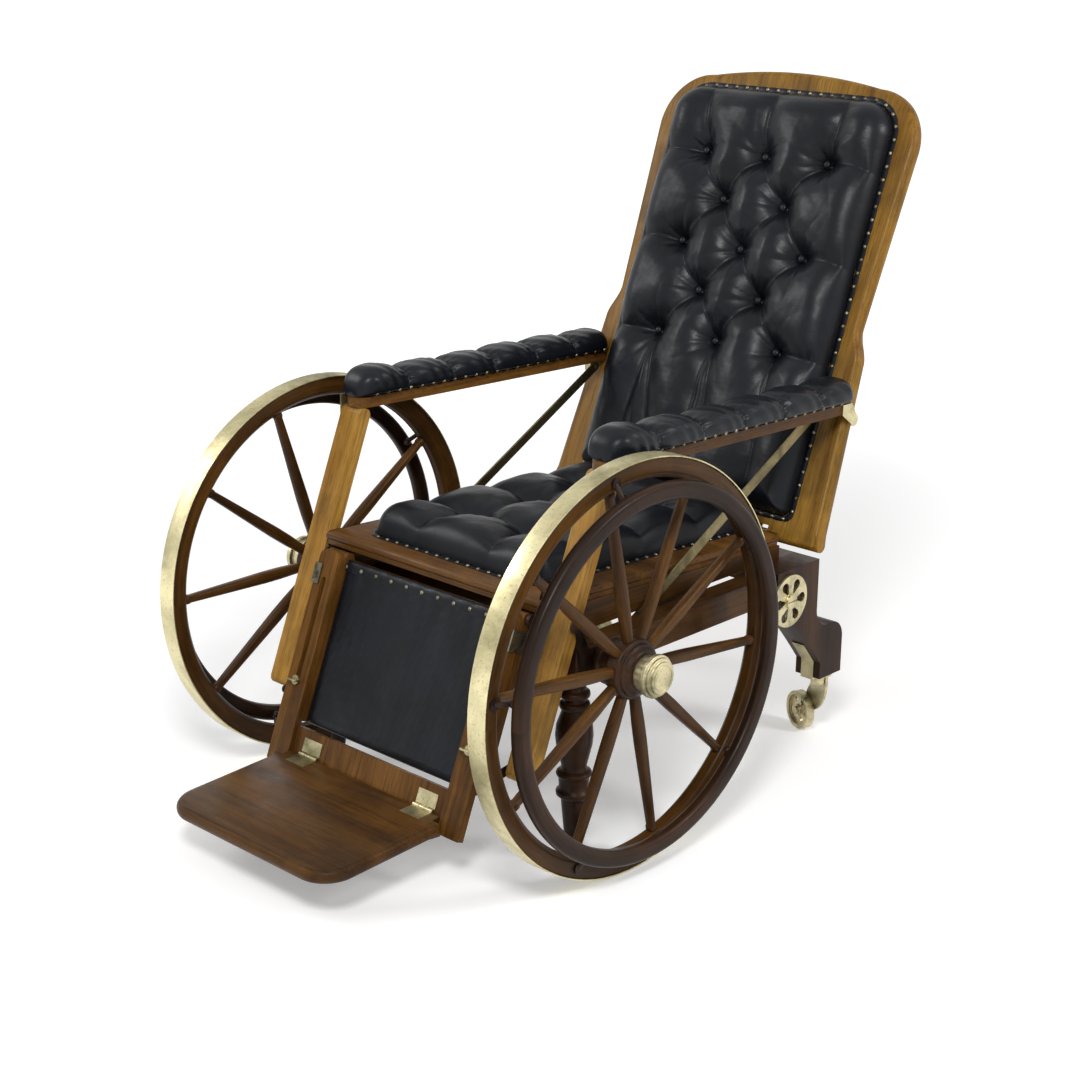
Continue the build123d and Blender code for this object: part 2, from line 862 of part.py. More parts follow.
def cushion_section(inset, height, half_width, front, length, corner):
    """One level of a stuffed cushion, a rounded oblong drawn in by the inset."""
    oblong = RectangleRounded(
        2 * (half_width - inset),
        length - 2 * inset,
        max(corner - inset, corner / 3),
    )
    return Pos(0, front + length / 2, height) * oblong


def stuffed(half_width, front, length, corner, edge_height, crown):
    """A stuffed shape: drawn in at the foot, full at the side and crowned on top."""
    levels = [
        (edge_height / 5, 0),
        (0, edge_height / 2),
        (edge_height / 4, edge_height),
        (corner, crown - (crown - edge_height) / 4),
    ]
    foot_inset = levels[0][0]
    lower = loft([
        cushion_section(foot_inset, 0, half_width, front, length, corner),
        cushion_section(levels[1][0], levels[1][1], half_width, front, length, corner),
        cushion_section(levels[2][0], levels[2][1], half_width, front, length, corner),
    ])
    shoulder = loft([
        cushion_section(levels[2][0], levels[2][1], half_width, front, length, corner),
        cushion_section(levels[3][0], levels[3][1], half_width, front, length, corner),
    ], ruled=True)
    top_inset = corner * 2
    top = loft([
        cushion_section(levels[3][0], levels[3][1], half_width, front, length, corner),
        cushion_section(top_inset, crown, half_width, front, length, corner),
    ], ruled=True)
    return lower + shoulder + top


def dimple(x, y, surface_height):
    """The hollow that a sewn tuft draws into a cushion."""
    cone = Cone(0, tuft_mouth_radius, tuft_depth + overrun)
    return Pos(x, y, surface_height - tuft_depth + (tuft_depth + overrun) / 2) * cone


def cushion_tufts():
    """Places of the tufts on the seat cushion."""
    middle_y = cushion_front + cushion_length / 2
    rows = [middle_y + cushion_tuft_pitch * (row - (cushion_tuft_rows - 1) / 2)
            for row in range(cushion_tuft_rows)]
    return [(side * cushion_tuft_x, y) for y in rows for side in (-1, 1)]


def make_seat_cushion():
    cushion = stuffed(
        cushion_half_width,
        cushion_front,
        cushion_length,
        cushion_corner,
        cushion_edge_height,
        cushion_crown,
    )
    for x, y in cushion_tufts():
        cushion = cushion - dimple(x, y, cushion_crown)
        side_x = math.copysign(cushion_half_width, x)
        cushion = cushion - rod(
            (x, y, cushion_crown + pleat_sink),
            (side_x, y, cushion_edge_height + pleat_sink),
            pleat_radius * 2,
        )
    return [seat_plane() * cushion]


def spaced(start, end, pitch):
    """Evenly spaced values from start to end, as near the pitch as fits."""
    count = max(1, round((end - start) / pitch))
    return [start + (end - start) * index / count for index in range(count + 1)]


def stud_on(plane, x, y, height):
    """A domed nail head seated on a plane."""
    head = Sphere(stud_radius) & Pos(0, 0, stud_height) * Box(
        stud_radius * 2 + overrun,
        stud_radius * 2 + overrun,
        stud_height * 2,
    )
    return plane * (Pos(x, y, height) * head)


def make_seat_studs():
    plane = seat_plane()
    margin = stud_radius + sliding_gap
    inset = cushion_edge_height / 5
    front = cushion_front + inset - margin
    half = cushion_half_width - inset + margin
    rear = cushion_front + cushion_length - inset + margin
    corner = cushion_corner
    studs = []
    for x in spaced(-half + corner, half - corner, seat_stud_pitch):
        studs.append(stud_on(plane, x, front - corner / 6, 0))
    for y in spaced(front + corner, rear - corner, seat_stud_pitch):
        studs.append(stud_on(plane, half + corner / 6, y, 0))
        studs.append(stud_on(plane, -half - corner / 6, y, 0))
    return studs


# Casters


def on_caster(solid):
    """A caster piece built round its swivel axis, turned to its trail and set under the leg."""
    return Pos(caster_axis_x, caster_axis_y, 0) * Rot(Z=caster_trail_angle) * solid


def make_caster_fork():
    top_z = rear_foot_z - caster_plate_thickness - caster_crown_top_gap
    crown_z = top_z - caster_crown_height
    wheel_z = caster_wheel_radius
    cheek_y = -caster_wheel_width / 2 - sliding_gap
    pin = rod((0, 0, top_z), (0, 0, rear_foot_z + caster_pin_length - overrun), caster_pin_radius)
    crown = rod((0, 0, crown_z), (0, 0, top_z), caster_horn_width / 2)
    horn_plane = Plane(origin=(0, cheek_y, 0), x_dir=(1, 0, 0), z_dir=(0, -1, 0))
    half = caster_horn_width / 2
    boss = caster_boss_radius
    horn_lines = Curve() + [
        Line((-half, top_z), (half, top_z)),
        ThreePointArc(
            (half, top_z),
            (caster_trail - half / 2, caster_wheel_radius + boss * 4),
            (caster_trail + boss, wheel_z),
        ),
        ThreePointArc(
            (caster_trail + boss, wheel_z),
            (caster_trail, wheel_z - boss),
            (caster_trail - boss, wheel_z),
        ),
        ThreePointArc(
            (caster_trail - boss, wheel_z),
            (half / 2, caster_wheel_radius + boss * 2),
            (-half, crown_z),
        ),
        Line((-half, crown_z), (-half, top_z)),
    ]
    horn = horn_plane * extrude(make_face(horn_lines), amount=caster_cheek_thickness)
    axle = rod(
        (caster_trail, cheek_y - caster_cheek_thickness, wheel_z),
        (caster_trail, caster_wheel_width / 2 + caster_cheek_thickness, wheel_z),
        caster_axle_radius,
    )
    head = rod(
        (caster_trail, caster_wheel_width / 2 + sliding_gap, wheel_z),
        (caster_trail, caster_wheel_width / 2 + caster_cheek_thickness, wheel_z),
        caster_axle_radius + caster_rim_depth / 2,
    )
    return on_caster(pin + crown + horn + axle + head)


def make_caster_wheel():
    half = caster_wheel_width / 2
    web = caster_web_thickness / 2
    inner = caster_wheel_radius - caster_rim_depth
    bore = caster_axle_radius + running_gap
    outline = Polyline(
        (bore, -half),
        (caster_boss_radius, -half),
        (caster_boss_radius, -web),
        (inner, -web),
        (inner, -half),
        (caster_wheel_radius, -half),
        (caster_wheel_radius, half),
        (inner, half),
        (inner, web),
        (caster_boss_radius, web),
        (caster_boss_radius, half),
        (bore, half),
        close=True,
    )
    wheel = revolve(make_face(outline), axis=Axis.Y)
    hole_circle = (caster_boss_radius + inner) / 2
    for index in range(caster_hole_count):
        angle = math.radians(360 * index / caster_hole_count)
        hole_x = hole_circle * math.cos(angle)
        hole_z = hole_circle * math.sin(angle)
        wheel = wheel - rod((hole_x, -half, hole_z), (hole_x, half, hole_z), caster_hole_radius)
    return on_caster(Pos(caster_trail, 0, caster_wheel_radius) * wheel)


def make_hand_wheel():
    """A pierced brass wheel with a slotted boss, on a stud in the rear leg."""
    leg_face_x = rear_leg_inner_x + rear_leg_width
    inner_x = leg_face_x + sliding_gap
    outer_x = inner_x + hand_wheel_thickness
    wheel = rod((inner_x, 0, 0), (outer_x, 0, 0), hand_wheel_radius)
    wide = Pos(hand_wheel_hole_circle, 0) * Circle(hand_wheel_hole_radius)
    narrow = Pos(hand_wheel_hole_root, 0) * Circle(hand_wheel_hole_root_radius)
    taper = make_face(Polyline(
        (hand_wheel_hole_root, hand_wheel_hole_root_radius),
        (hand_wheel_hole_circle, hand_wheel_hole_radius),
        (hand_wheel_hole_circle, -hand_wheel_hole_radius),
        (hand_wheel_hole_root, -hand_wheel_hole_root_radius),
        close=True,
    ))
    plane = Plane(origin=(inner_x - overrun, 0, 0), x_dir=(0, 1, 0), z_dir=(1, 0, 0))
    teardrop = plane * extrude(wide + narrow + taper, amount=hand_wheel_thickness + overrun * 2)
    for index in range(hand_wheel_hole_count):
        angle = math.radians(360 * index / hand_wheel_hole_count)
        wheel = wheel - Rot(X=math.degrees(angle)) * teardrop
    boss_x = outer_x + hand_wheel_boss_length
    boss = rod((outer_x, 0, 0), (boss_x, 0, 0), hand_wheel_boss_radius)
    stud = rod((leg_face_x - hand_wheel_stud_length + sliding_gap, 0, 0), (inner_x, 0, 0), hand_wheel_stud_radius)
    slot = limits(
        (boss_x - hand_wheel_slot_width, boss_x + overrun),
        (-hand_wheel_boss_radius, hand_wheel_boss_radius),
        (-hand_wheel_slot_width / 2, hand_wheel_slot_width / 2),
    )
    return Pos(0, hand_wheel_y, hand_wheel_z) * (wheel + boss + stud - slot)


# Reclining back


def back_outline():
    """The back seen from the front: hips, a narrow waist, round shoulders and a low crest."""
    shoulder = back_shoulder_half_width
    round_top = back_height - back_crest_rise
    turn_x = shoulder - back_shoulder_radius * (1 - math.cos(math.radians(45)))
    turn_y = round_top - back_shoulder_radius * (1 - math.sin(math.radians(45)))
    hip = (back_hip_half_width, back_hip_length)
    waist = (back_waist_half_width, back_waist_length)
    below = Vector(hip[0] - back_bottom_half_width, hip[1]).normalized()
    above = Vector(shoulder - waist[0], round_top - back_shoulder_radius - waist[1]).normalized()
    right = [
        Line((back_bottom_half_width, 0), hip),
        Spline(hip, waist, tangents=(below, above)),
        Line(waist, (shoulder, round_top - back_shoulder_radius)),
        ThreePointArc(
            (shoulder, round_top - back_shoulder_radius),
            (turn_x, turn_y),
            (shoulder - back_shoulder_radius, round_top),
        ),
    ]
    crest = ThreePointArc(
        (shoulder - back_shoulder_radius, round_top),
        (0, back_height),
        (back_shoulder_radius - shoulder, round_top),
    )
    left = [mirror(edge, about=Plane.YZ) for edge in right]
    base = Line((-back_bottom_half_width, 0), (back_bottom_half_width, 0))
    return Curve() + right + [crest] + left + [base]


def hinge_pockets():
    """Cuts through the bottom edge of the back, one for each hinge."""
    half = back_hinge_length / 2 + sliding_gap
    reach = back_thickness / 2 + overrun
    pocket = limits((-half, half), (-reach, back_hinge_pocket_rise), (-reach, reach))
    return [Pos(x, 0, 0) * pocket for x in (-back_hinge_x, 0, back_hinge_x)]


def make_back_frame():
    half = back_thickness / 2
    slab = Pos(0, 0, -half) * extrude(make_face(back_outline()), amount=back_thickness)
    slab = fillet(slab.edges().group_by(Axis.Z)[-1].filter_by(GeomType.CIRCLE), radius=back_edge_round)
    foot = rod((-back_bottom_half_width, 0, 0), (back_bottom_half_width, 0, 0), half)
    frame = slab + foot
    for pocket in hinge_pockets():
        frame = frame - pocket
    for side in (-1, 1):
        frame = frame - rod(
            (side * (back_bottom_half_width + overrun), link_arm, 0),
            (side * (arm_outer_x - arm_pin_depth - sliding_gap), link_arm, 0),
            pivot_radius + running_gap,
        )
    return [leaned(back_pivot) * frame]


def button_places():
    """Places of the buttons, in rows of three and of two from the top down."""
    places = []
    for row in range(button_row_count):
        height = button_rows_top - button_row_pitch * row
        columns = (-2, 0, 2) if row % 2 == 0 else (-1, 1)
        places += [(column * button_column_pitch, height) for column in columns]
    return places


def pleat_ends():
    """The pleats: one to each button in the row below, and on to the edges of the pad."""
    places = button_places()
    bottom_y = button_rows_top - button_row_pitch * (button_row_count - 1)
    pleats = []
    for x, y in places:
        for next_x, next_y in places:
            below = abs(y - next_y - button_row_pitch) < button_row_pitch / 4
            beside = abs(x - next_x) < button_column_pitch * 3 / 2
            if below and beside:
                pleats.append(((x, y), (next_x, next_y)))
        if abs(y - button_rows_top) < button_row_pitch / 4:
            pleats.append(((x, y), (x, back_pad_top)))
        if abs(y - bottom_y) < button_row_pitch / 4:
            pleats.append(((x, y), (x, back_pad_bottom)))
        if abs(x) > button_column_pitch * 3 / 2:
            pleats.append(((x, y), (math.copysign(back_pad_half_width, x), y)))
    return pleats


def make_back_pad():
    pad = stuffed(
        back_pad_half_width,
        back_pad_bottom,
        back_pad_top - back_pad_bottom,
        back_pad_corner,
        back_pad_edge_height,
        back_pad_crown,
    )
    for start, end in pleat_ends():
        at_edge = abs(end[0]) >= back_pad_half_width or end[1] in (back_pad_top, back_pad_bottom)
        end_height = back_pad_edge_height if at_edge else back_pad_crown
        pad = pad - rod(
            (start[0], start[1], back_pad_crown + pleat_sink / 2),
            (end[0], end[1], end_height + pleat_sink / 2),
            pleat_radius,
        )
    for x, y in button_places():
        pad = pad - dimple(x, y, back_pad_crown)
        seat = Pos(x, y, back_pad_crown - button_sink + back_pad_crown / 2)
        pad = pad - seat * Cylinder(button_radius + sliding_gap, back_pad_crown)
    return [leaned(back_pivot) * (Pos(0, 0, back_thickness / 2) * pad)]


def make_back_buttons():
    """Flattened round buttons, each drawn down into its tuft."""
    seat = back_thickness / 2 + back_pad_crown - button_sink
    button = Cylinder(button_radius, button_height)
    button = fillet(button.edges().group_by(Axis.Z)[-1], radius=button_height / 3)
    plane = leaned(back_pivot)
    return [plane * (Pos(x, y, seat + button_height / 2) * button) for x, y in button_places()]


def make_back_studs():
    plane = leaned(back_pivot)
    face = back_thickness / 2
    out = back_stud_margin
    half = back_pad_half_width + out
    bottom = back_pad_bottom - out
    top = back_pad_top + out
    corner = back_pad_corner
    studs = []
    for y in spaced(bottom + corner, top - corner, back_stud_pitch):
        studs.append(stud_on(plane, half, y, face))
        studs.append(stud_on(plane, -half, y, face))
    for x in spaced(-half + corner, half - corner, back_stud_pitch):
        studs.append(stud_on(plane, x, bottom, face))
        studs.append(stud_on(plane, x, top, face))
    return studs


def make_upper_back_hinges():
    """The moving halves: a knuckle round the pin and a leaf up into the pocket."""
    sixth = back_hinge_length / 6
    leaf = limits(
        (-sixth, sixth),
        (0, back_hinge_pocket_rise),
        (-back_hinge_leaf_thickness / 2, back_hinge_leaf_thickness / 2),
    )
    knuckle = rod((-sixth, 0, 0), (sixth, 0, 0), back_hinge_knuckle_radius)
    bore = rod(
        (-sixth - overrun, 0, 0),
        (sixth + overrun, 0, 0),
        back_hinge_pin_radius + running_gap,
    )
    hinge = leaf + knuckle - bore
    plane = leaned(back_pivot)
    return [plane * (Pos(x, 0, 0) * hinge) for x in (-back_hinge_x, 0, back_hinge_x)]


# Arms


def tilted_arm(solid):
    """An arm piece built level, turned about the rear pivot until it meets the post."""
    return Pos(0, arm_pivot.Y, upper_pivot_z) * Rot(X=-arm_tilt) * Pos(0, -arm_pivot.Y, -upper_pivot_z) * solid


def make_arm_rail():
    rail = limits(
        (arm_inner_x, arm_outer_x),
        (arm_front_y, arm_rear_y),
        (arm_underside_z, arm_underside_z + arm_rail_height),
    )
    front_corners = rail.edges().filter_by(Axis.Z).group_by(Axis.Y)[0]
    rail = fillet(front_corners, radius=arm_rail_end_radius)
    return tilted_arm(rail)


def arm_pad_section(y, share):
    """One cross-section of an arm pad: flat below, with round sides and a round crown."""
    half = arm_pad_width / 2 * share
    height = arm_pad_height * share
    foot = half - arm_pad_height / 5
    waist = height / 3
    lines = Curve() + [
        Line((-foot, 0), (foot, 0)),
        ThreePointArc((foot, 0), (half - height / 20, waist / 2), (half, waist)),
        ThreePointArc((half, waist), (0, height), (-half, waist)),
        ThreePointArc((-half, waist), (height / 20 - half, waist / 2), (-foot, 0)),
    ]
    centre_x = arm_pad_inner_x + arm_pad_width / 2
    plane = Plane(
        origin=(centre_x, y, arm_underside_z + arm_rail_height),
        x_dir=(1, 0, 0),
        z_dir=(0, -1, 0),
    )
    return plane * make_face(lines)


def make_arm_pad():
    length = (arm_pad_rear_y - arm_pad_front_y) / arm_puff_count
    puffs = []
    for index in range(arm_puff_count):
        front_y = arm_pad_front_y + length * index
        puffs.append(loft([
            arm_pad_section(front_y, arm_seam_share),
            arm_pad_section(front_y + length / 2, 1),
            arm_pad_section(front_y + length, arm_seam_share),
        ]))
    pad = puffs[0]
    for puff in puffs[1:]:
        pad = pad + puff
    return tilted_arm(pad)


def make_arm_brass():
    """The ears at both ends of an arm, their pins, and the lug that holds the stay."""
    rear_plate = side_profile(
        Polyline(
            (arm_rear_y - arm_ear_root_length, arm_underside_z + arm_rail_height),
            (arm_rear_y - arm_ear_root_length, arm_underside_z),
            (arm_pivot.Y, upper_pivot_z - arm_ear_radius),
            (arm_pivot.Y + arm_ear_radius, upper_pivot_z),
            (arm_rear_y, arm_underside_z + arm_rail_height),
            close=True,
        ),
        arm_outer_x,
        arm_ear_thickness,
    )
    rear_eye = rod(
        (arm_outer_x, arm_pivot.Y, upper_pivot_z),
        (arm_outer_x + arm_ear_thickness, arm_pivot.Y, upper_pivot_z),
        arm_ear_radius,
    )
    rear_pin = rod(
        (arm_outer_x, arm_pivot.Y, upper_pivot_z),
        (arm_outer_x - arm_pin_depth, arm_pivot.Y, upper_pivot_z),
        pivot_radius,
    )
    rear_ear = rear_plate + rear_eye + rear_pin
    front_plate = limits(
        (arm_outer_x, arm_outer_x + arm_ear_thickness),
        (arm_ear_y - arm_ear_radius, arm_ear_y + arm_ear_radius),
        (upper_pivot_z, arm_underside_z + arm_rail_height),
    )
    front_eye = rod(
        (arm_outer_x, arm_ear_y, upper_pivot_z),
        (arm_outer_x + arm_ear_thickness, arm_ear_y, upper_pivot_z),
        arm_ear_radius,
    )
    front_hole = rod(
        (arm_outer_x - overrun, arm_ear_y, upper_pivot_z),
        (arm_outer_x + arm_ear_thickness + overrun, arm_ear_y, upper_pivot_z),
        pivot_radius + open_pivot_gap,
    )
    front_ear = front_plate + front_eye - front_hole
    lug = limits(
        (arm_inner_x, arm_inner_x + stay_lug_width),
        (stay_top_y - stay_lug_length / 2, stay_top_y + stay_lug_length / 2),
        (stay_top_z - stay_width / 2, arm_underside_z),
    )
    stay_pin = rod(
        (arm_inner_x, stay_top_y, stay_top_z),
        (stay_plane_x - sliding_gap, stay_top_y, stay_top_z),
        stay_pin_radius,
    )
    return [tilted_arm(piece) for piece in (rear_ear, front_ear, lug + stay_pin)]


# Front posts, stays and links


def make_post():
    inner_x = arm_inner_x + post_side_gap
    outer_x = arm_outer_x - post_side_gap
    half = post_depth / 2
    tail = Vector(0, -post_tail_length, 0)
    body = limits((inner_x, outer_x), (-post_tail_length, link_arm), (-half, half))
    top = rod((inner_x, link_arm, 0), (outer_x, link_arm, 0), half)
    foot = rod((inner_x, tail.Y, 0), (outer_x, tail.Y, 0), half)
    pin = rod((outer_x, link_arm, 0), (arm_outer_x + arm_ear_thickness, link_arm, 0), pivot_radius)
    pivot_bore = rod((inner_x - overrun, 0, 0), (outer_x + overrun, 0, 0), pivot_radius + running_gap)
    link_bore = rod(
        (inner_x - overrun, tail.Y, 0),
        (inner_x + link_pin_depth + sliding_gap, tail.Y, 0),
        link_pin_radius + running_gap,
    )
    return leaned(post_pivot) * (body + top + foot + pin - pivot_bore - link_bore)


def make_stay():
    start = stay_top()
    end = Vector(0, stay_clamp_y, stay_clamp_z)
    run = end - start
    plane = Plane(origin=(stay_plane_x, start.Y, start.Z), x_dir=run, z_dir=(1, 0, 0))
    length = run.length + stay_tail_length
    half = stay_width / 2
    bar = Rectangle(length, stay_width, align=(Align.MIN, Align.CENTER))
    outline = bar + Circle(half) + Pos(length, 0) * Circle(half)
    outline = outline - Circle(stay_pin_radius + running_gap)
    return plane * extrude(outline, amount=stay_thickness)


def link_ends():
    """The pin at the foot of a post, and the pin on the leg rest frame."""
    low = leaned(post_pivot).from_local_coords(Vector(0, -post_tail_length, 0))
    high = low + (leg_pivot - post_pivot)
    return low, high


def make_link():
    low, high = link_ends()
    run = high - low
    plane = Plane(origin=(link_inner_x, low.Y, low.Z), x_dir=run, z_dir=(1, 0, 0))
    half = link_width / 2
    bar = Rectangle(run.length, link_width, align=(Align.MIN, Align.CENTER))
    outline = bar + Circle(half) + Pos(run.length, 0) * Circle(half)
    plate = plane * extrude(outline, amount=link_thickness)
    low_pin = rod(
        (link_inner_x + link_thickness, low.Y, low.Z),
        (arm_inner_x + post_side_gap + link_pin_depth, low.Y, low.Z),
        link_pin_radius,
    )
    high_pin = rod(
        (link_inner_x, high.Y, high.Z),
        (leg_stile_inner_x + leg_stile_width - link_pin_depth, high.Y, high.Z),
        link_pin_radius,
    )
    return plate + low_pin + high_pin


# Leg rest


def make_leg_frame():
    half = leg_frame_thickness / 2
    outer_x = leg_stile_inner_x + leg_stile_width
    stile = limits((leg_stile_inner_x, outer_x), (-leg_frame_length, 0), (-half, half))
    crown = rod((leg_stile_inner_x, 0, 0), (outer_x, 0, 0), half)
    pivot_bore = rod(
        (outer_x - leg_pin_depth - sliding_gap, 0, 0),
        (outer_x + overrun, 0, 0),
        pivot_radius + running_gap,
    )
    low, high = link_ends()
    link_place = leaned(leg_pivot).to_local_coords(high)
    link_bore = rod(
        (outer_x - link_pin_depth - sliding_gap, link_place.Y, link_place.Z),
        (outer_x + overrun, link_place.Y, link_place.Z),
        link_pin_radius + open_pivot_gap,
    )
    screw_x, screw_y = thumb_place()
    screw_bore = rod(
        (screw_x, screw_y, half - thumb_stem_depth - sliding_gap),
        (screw_x, screw_y, half + overrun),
        thumb_stem_radius + running_gap,
    )
    stile = stile + crown - pivot_bore - link_bore - screw_bore
    across = (-leg_stile_inner_x, leg_stile_inner_x)
    upper = limits(across, (-leg_rail_length, 0), (-half, -half + leg_rail_length / 3))
    lower = limits(across, (-leg_frame_length, leg_rail_length - leg_frame_length), (-half, -half + leg_rail_length / 3))
    plane = leaned(leg_pivot)
    return [plane * solid for solid in both_sides([stile]) + [upper, lower]]


def make_leg_panel():
    """A leather panel over the whole opening, a little fuller in the middle."""
    back = leg_rail_length / 3 - leg_frame_thickness / 2
    half = leg_stile_inner_x - sliding_gap
    panel = limits((-half, half), (-leg_frame_length, 0), (back, back + leg_panel_thickness / 2))
    puffed_length = leg_frame_length - leg_stud_margin
    middle = Pos(0, puffed_length / 2 - leg_frame_length, back + leg_panel_thickness / 2)
    top = Pos(0, 0, leg_panel_crown)
    puffed = loft([
        middle * Rectangle(2 * half, puffed_length),
        middle * top * Rectangle(2 * half - leg_rail_length, puffed_length - leg_rail_length),
    ], ruled=True)
    return [leaned(leg_pivot) * (panel + puffed)]


def make_leg_rest_brasses():
    """Nail heads along the panel's upper edge, and the straps that keep the sliding boards."""
    plane = leaned(leg_pivot)
    back = leg_rail_length / 3 - leg_frame_thickness / 2 + leg_panel_thickness / 2
    half = leg_stile_inner_x - leg_stud_margin * 2
    studs = [stud_on(plane, x, -leg_stud_margin / 2, back) for x in spaced(-half, half, leg_stud_pitch)]
    outer_x = leg_stile_inner_x + leg_stile_width
    lip_face = leg_front_face + sliding_gap
    span = (guide_top - guide_length, guide_top)
    web = limits(
        (outer_x, outer_x + guide_thickness),
        span,
        (-leg_frame_thickness / 2, lip_face + guide_thickness),
    )
    lip = limits((outer_x - guide_lip, outer_x), span, (lip_face, lip_face + guide_thickness))
    guides = [plane * solid for solid in both_sides([web + lip])]
    return studs + guides


def thumb_place():
    """Place of the thumb-screw on the leg rest, near the lower end of the slot."""
    x = leg_stile_inner_x + leg_stile_width / 2
    y = slide_slot_top - slide_slot_length + thumb_screw_up_slot
    return x, y


def make_slide():
    """The sliding carrier: two slotted boards and the rail between their feet."""
    back = leg_frame_thickness / 2 + sliding_gap
    outer_x = leg_stile_inner_x + leg_stile_width - sliding_gap
    bottom = slide_board_top - slide_board_length
    board = limits((leg_stile_inner_x, outer_x), (bottom, slide_board_top), (back, leg_front_face))
    top_corners = board.edges().filter_by(Axis.Z).group_by(Axis.Y)[-1]
    board = fillet(top_corners, radius=leg_stile_width / 3)
    slot_x, screw_y = thumb_place()
    slot = Pos(slot_x, slide_slot_top - slide_slot_length / 2, back - overrun) * extrude(
        SlotOverall(slide_slot_length, slide_slot_width, rotation=90),
        amount=slide_board_thickness + overrun * 2,
    )
    board = board - slot
    rail_top = -leg_frame_length - foot_rail_gap
    rail_front = leg_front_face - foot_rail_recess
    rail = limits(
        (-leg_stile_inner_x, leg_stile_inner_x),
        (rail_top - foot_rail_length, rail_top),
        (rail_front - foot_rail_thickness, rail_front),
    )
    plane = leaned(leg_pivot)
    return [plane * solid for solid in both_sides([board]) + [rail]]


def make_thumb_screw():
    x, y = thumb_place()
    back = leg_frame_thickness / 2
    seat = leg_front_face + sliding_gap
    stem = rod((x, y, back - thumb_stem_depth), (x, y, seat), thumb_stem_radius)
    head = rod((x, y, seat), (x, y, seat + thumb_head_height), thumb_head_radius)
    wing = limits(
        (x - thumb_wing_length / 2, x + thumb_wing_length / 2),
        (y - thumb_wing_thickness / 2, y + thumb_wing_thickness / 2),
        (seat + thumb_head_height, seat + thumb_head_height + thumb_wing_height),
    )
    wing = fillet(
        wing.edges().filter_by(Axis.Y).group_by(Axis.Z)[-1],
        radius=thumb_wing_height / 2,
    )
    return leaned(leg_pivot) * (stem + head + wing)


# Footboard


def foot_hinge_place():
    """The hinge line of the footboard, in the chair and along the leg rest."""
    out = foot_hinge_forward
    along = foot_hinge_up_rail - leg_frame_length - foot_rail_gap - foot_rail_length
    return leaned(leg_pivot).from_local_coords(Vector(0, along, out)), along


def foot_plane():
    """The footboard's top: X across, Y towards the front and Z down through the board."""
    origin, along = foot_hinge_place()
    dip = math.radians(footboard_dip)
    return Plane(origin=origin, x_dir=(1, 0, 0), z_dir=(0, math.sin(dip), -math.cos(dip)))


def make_footboard():
    start = foot_hinge_knuckle_radius + sliding_gap
    end = start + footboard_length
    tongue = limits(
        (-footboard_tongue_half_width, footboard_tongue_half_width),
        (start, start + footboard_tongue_length),
        (0, footboard_thickness),
    )
    board = limits(
        (-footboard_half_width, footboard_half_width),
        (start + footboard_tongue_length, end),
        (0, footboard_thickness),
    )
    front_corners = board.edges().filter_by(Axis.Z).group_by(Axis.Y)[-1]
    board = fillet(front_corners, radius=footboard_corner)
    board = board + tongue
    for leaf in lower_leaves():
        board = board - leaf
    return [foot_plane() * board]


def lower_leaves():
    start = foot_hinge_knuckle_radius + sliding_gap
    half = foot_hinge_length / 2
    leaf = limits((-half, half), (start, start + foot_hinge_leaf), (0, foot_hinge_leaf_thickness))
    return [Pos(x, 0, 0) * leaf for x in (-foot_hinge_x, foot_hinge_x)]


def foot_knuckle(start_x, end_x):
    return rod((start_x, 0, 0), (end_x, 0, 0), foot_hinge_knuckle_radius)


def make_foot_hinges_lower():
    """Leaves let into the footboard, with the outer knuckles and the pin."""
    half = foot_hinge_length / 2
    third = foot_hinge_length / 6
    start = foot_hinge_knuckle_radius + sliding_gap
    hinges = []
    for x, leaf in zip((-foot_hinge_x, foot_hinge_x), lower_leaves()):
        hinge = leaf
        for side in (-1, 1):
            ends = sorted((side * half, side * (third + sliding_gap)))
            strip = limits(ends, (0, start), (0, foot_hinge_leaf_thickness))
            hinge = hinge + Pos(x, 0, 0) * (strip + foot_knuckle(ends[0], ends[1]))
        hinge = hinge + Pos(x, 0, 0) * rod((-half, 0, 0), (half, 0, 0), foot_hinge_pin_radius)
        hinges.append(foot_plane() * hinge)
    return hinges


def make_foot_hinges_upper():
    """Leaves on the face of the carrier's rail, with the middle knuckles."""
    place, along = foot_hinge_place()
    half = foot_hinge_length / 2
    third = foot_hinge_length / 6
    rail_front = leg_front_face - foot_rail_recess
    reach = foot_hinge_knuckle_radius + sliding_gap
    leaf = limits(
        (-half, half),
        (along + reach, along + foot_hinge_leaf),
        (rail_front, rail_front + foot_hinge_leaf_thickness),
    )
    tongue = limits(
        (-third, third),
        (along, along + reach + overrun),
        (rail_front, rail_front + foot_hinge_leaf_thickness),
    )
    knuckle = Pos(0, along, foot_hinge_forward) * foot_knuckle(-third, third)
    bore = Pos(0, along, foot_hinge_forward) * rod(
        (-third - overrun, 0, 0),
        (third + overrun, 0, 0),
        foot_hinge_pin_radius + running_gap,
    )
    hinge = leaf + tongue + knuckle - bore
    plane = leaned(leg_pivot)
    return [plane * (Pos(x, 0, 0) * hinge) for x in (-foot_hinge_x, foot_hinge_x)]


# The whole chair, node by node


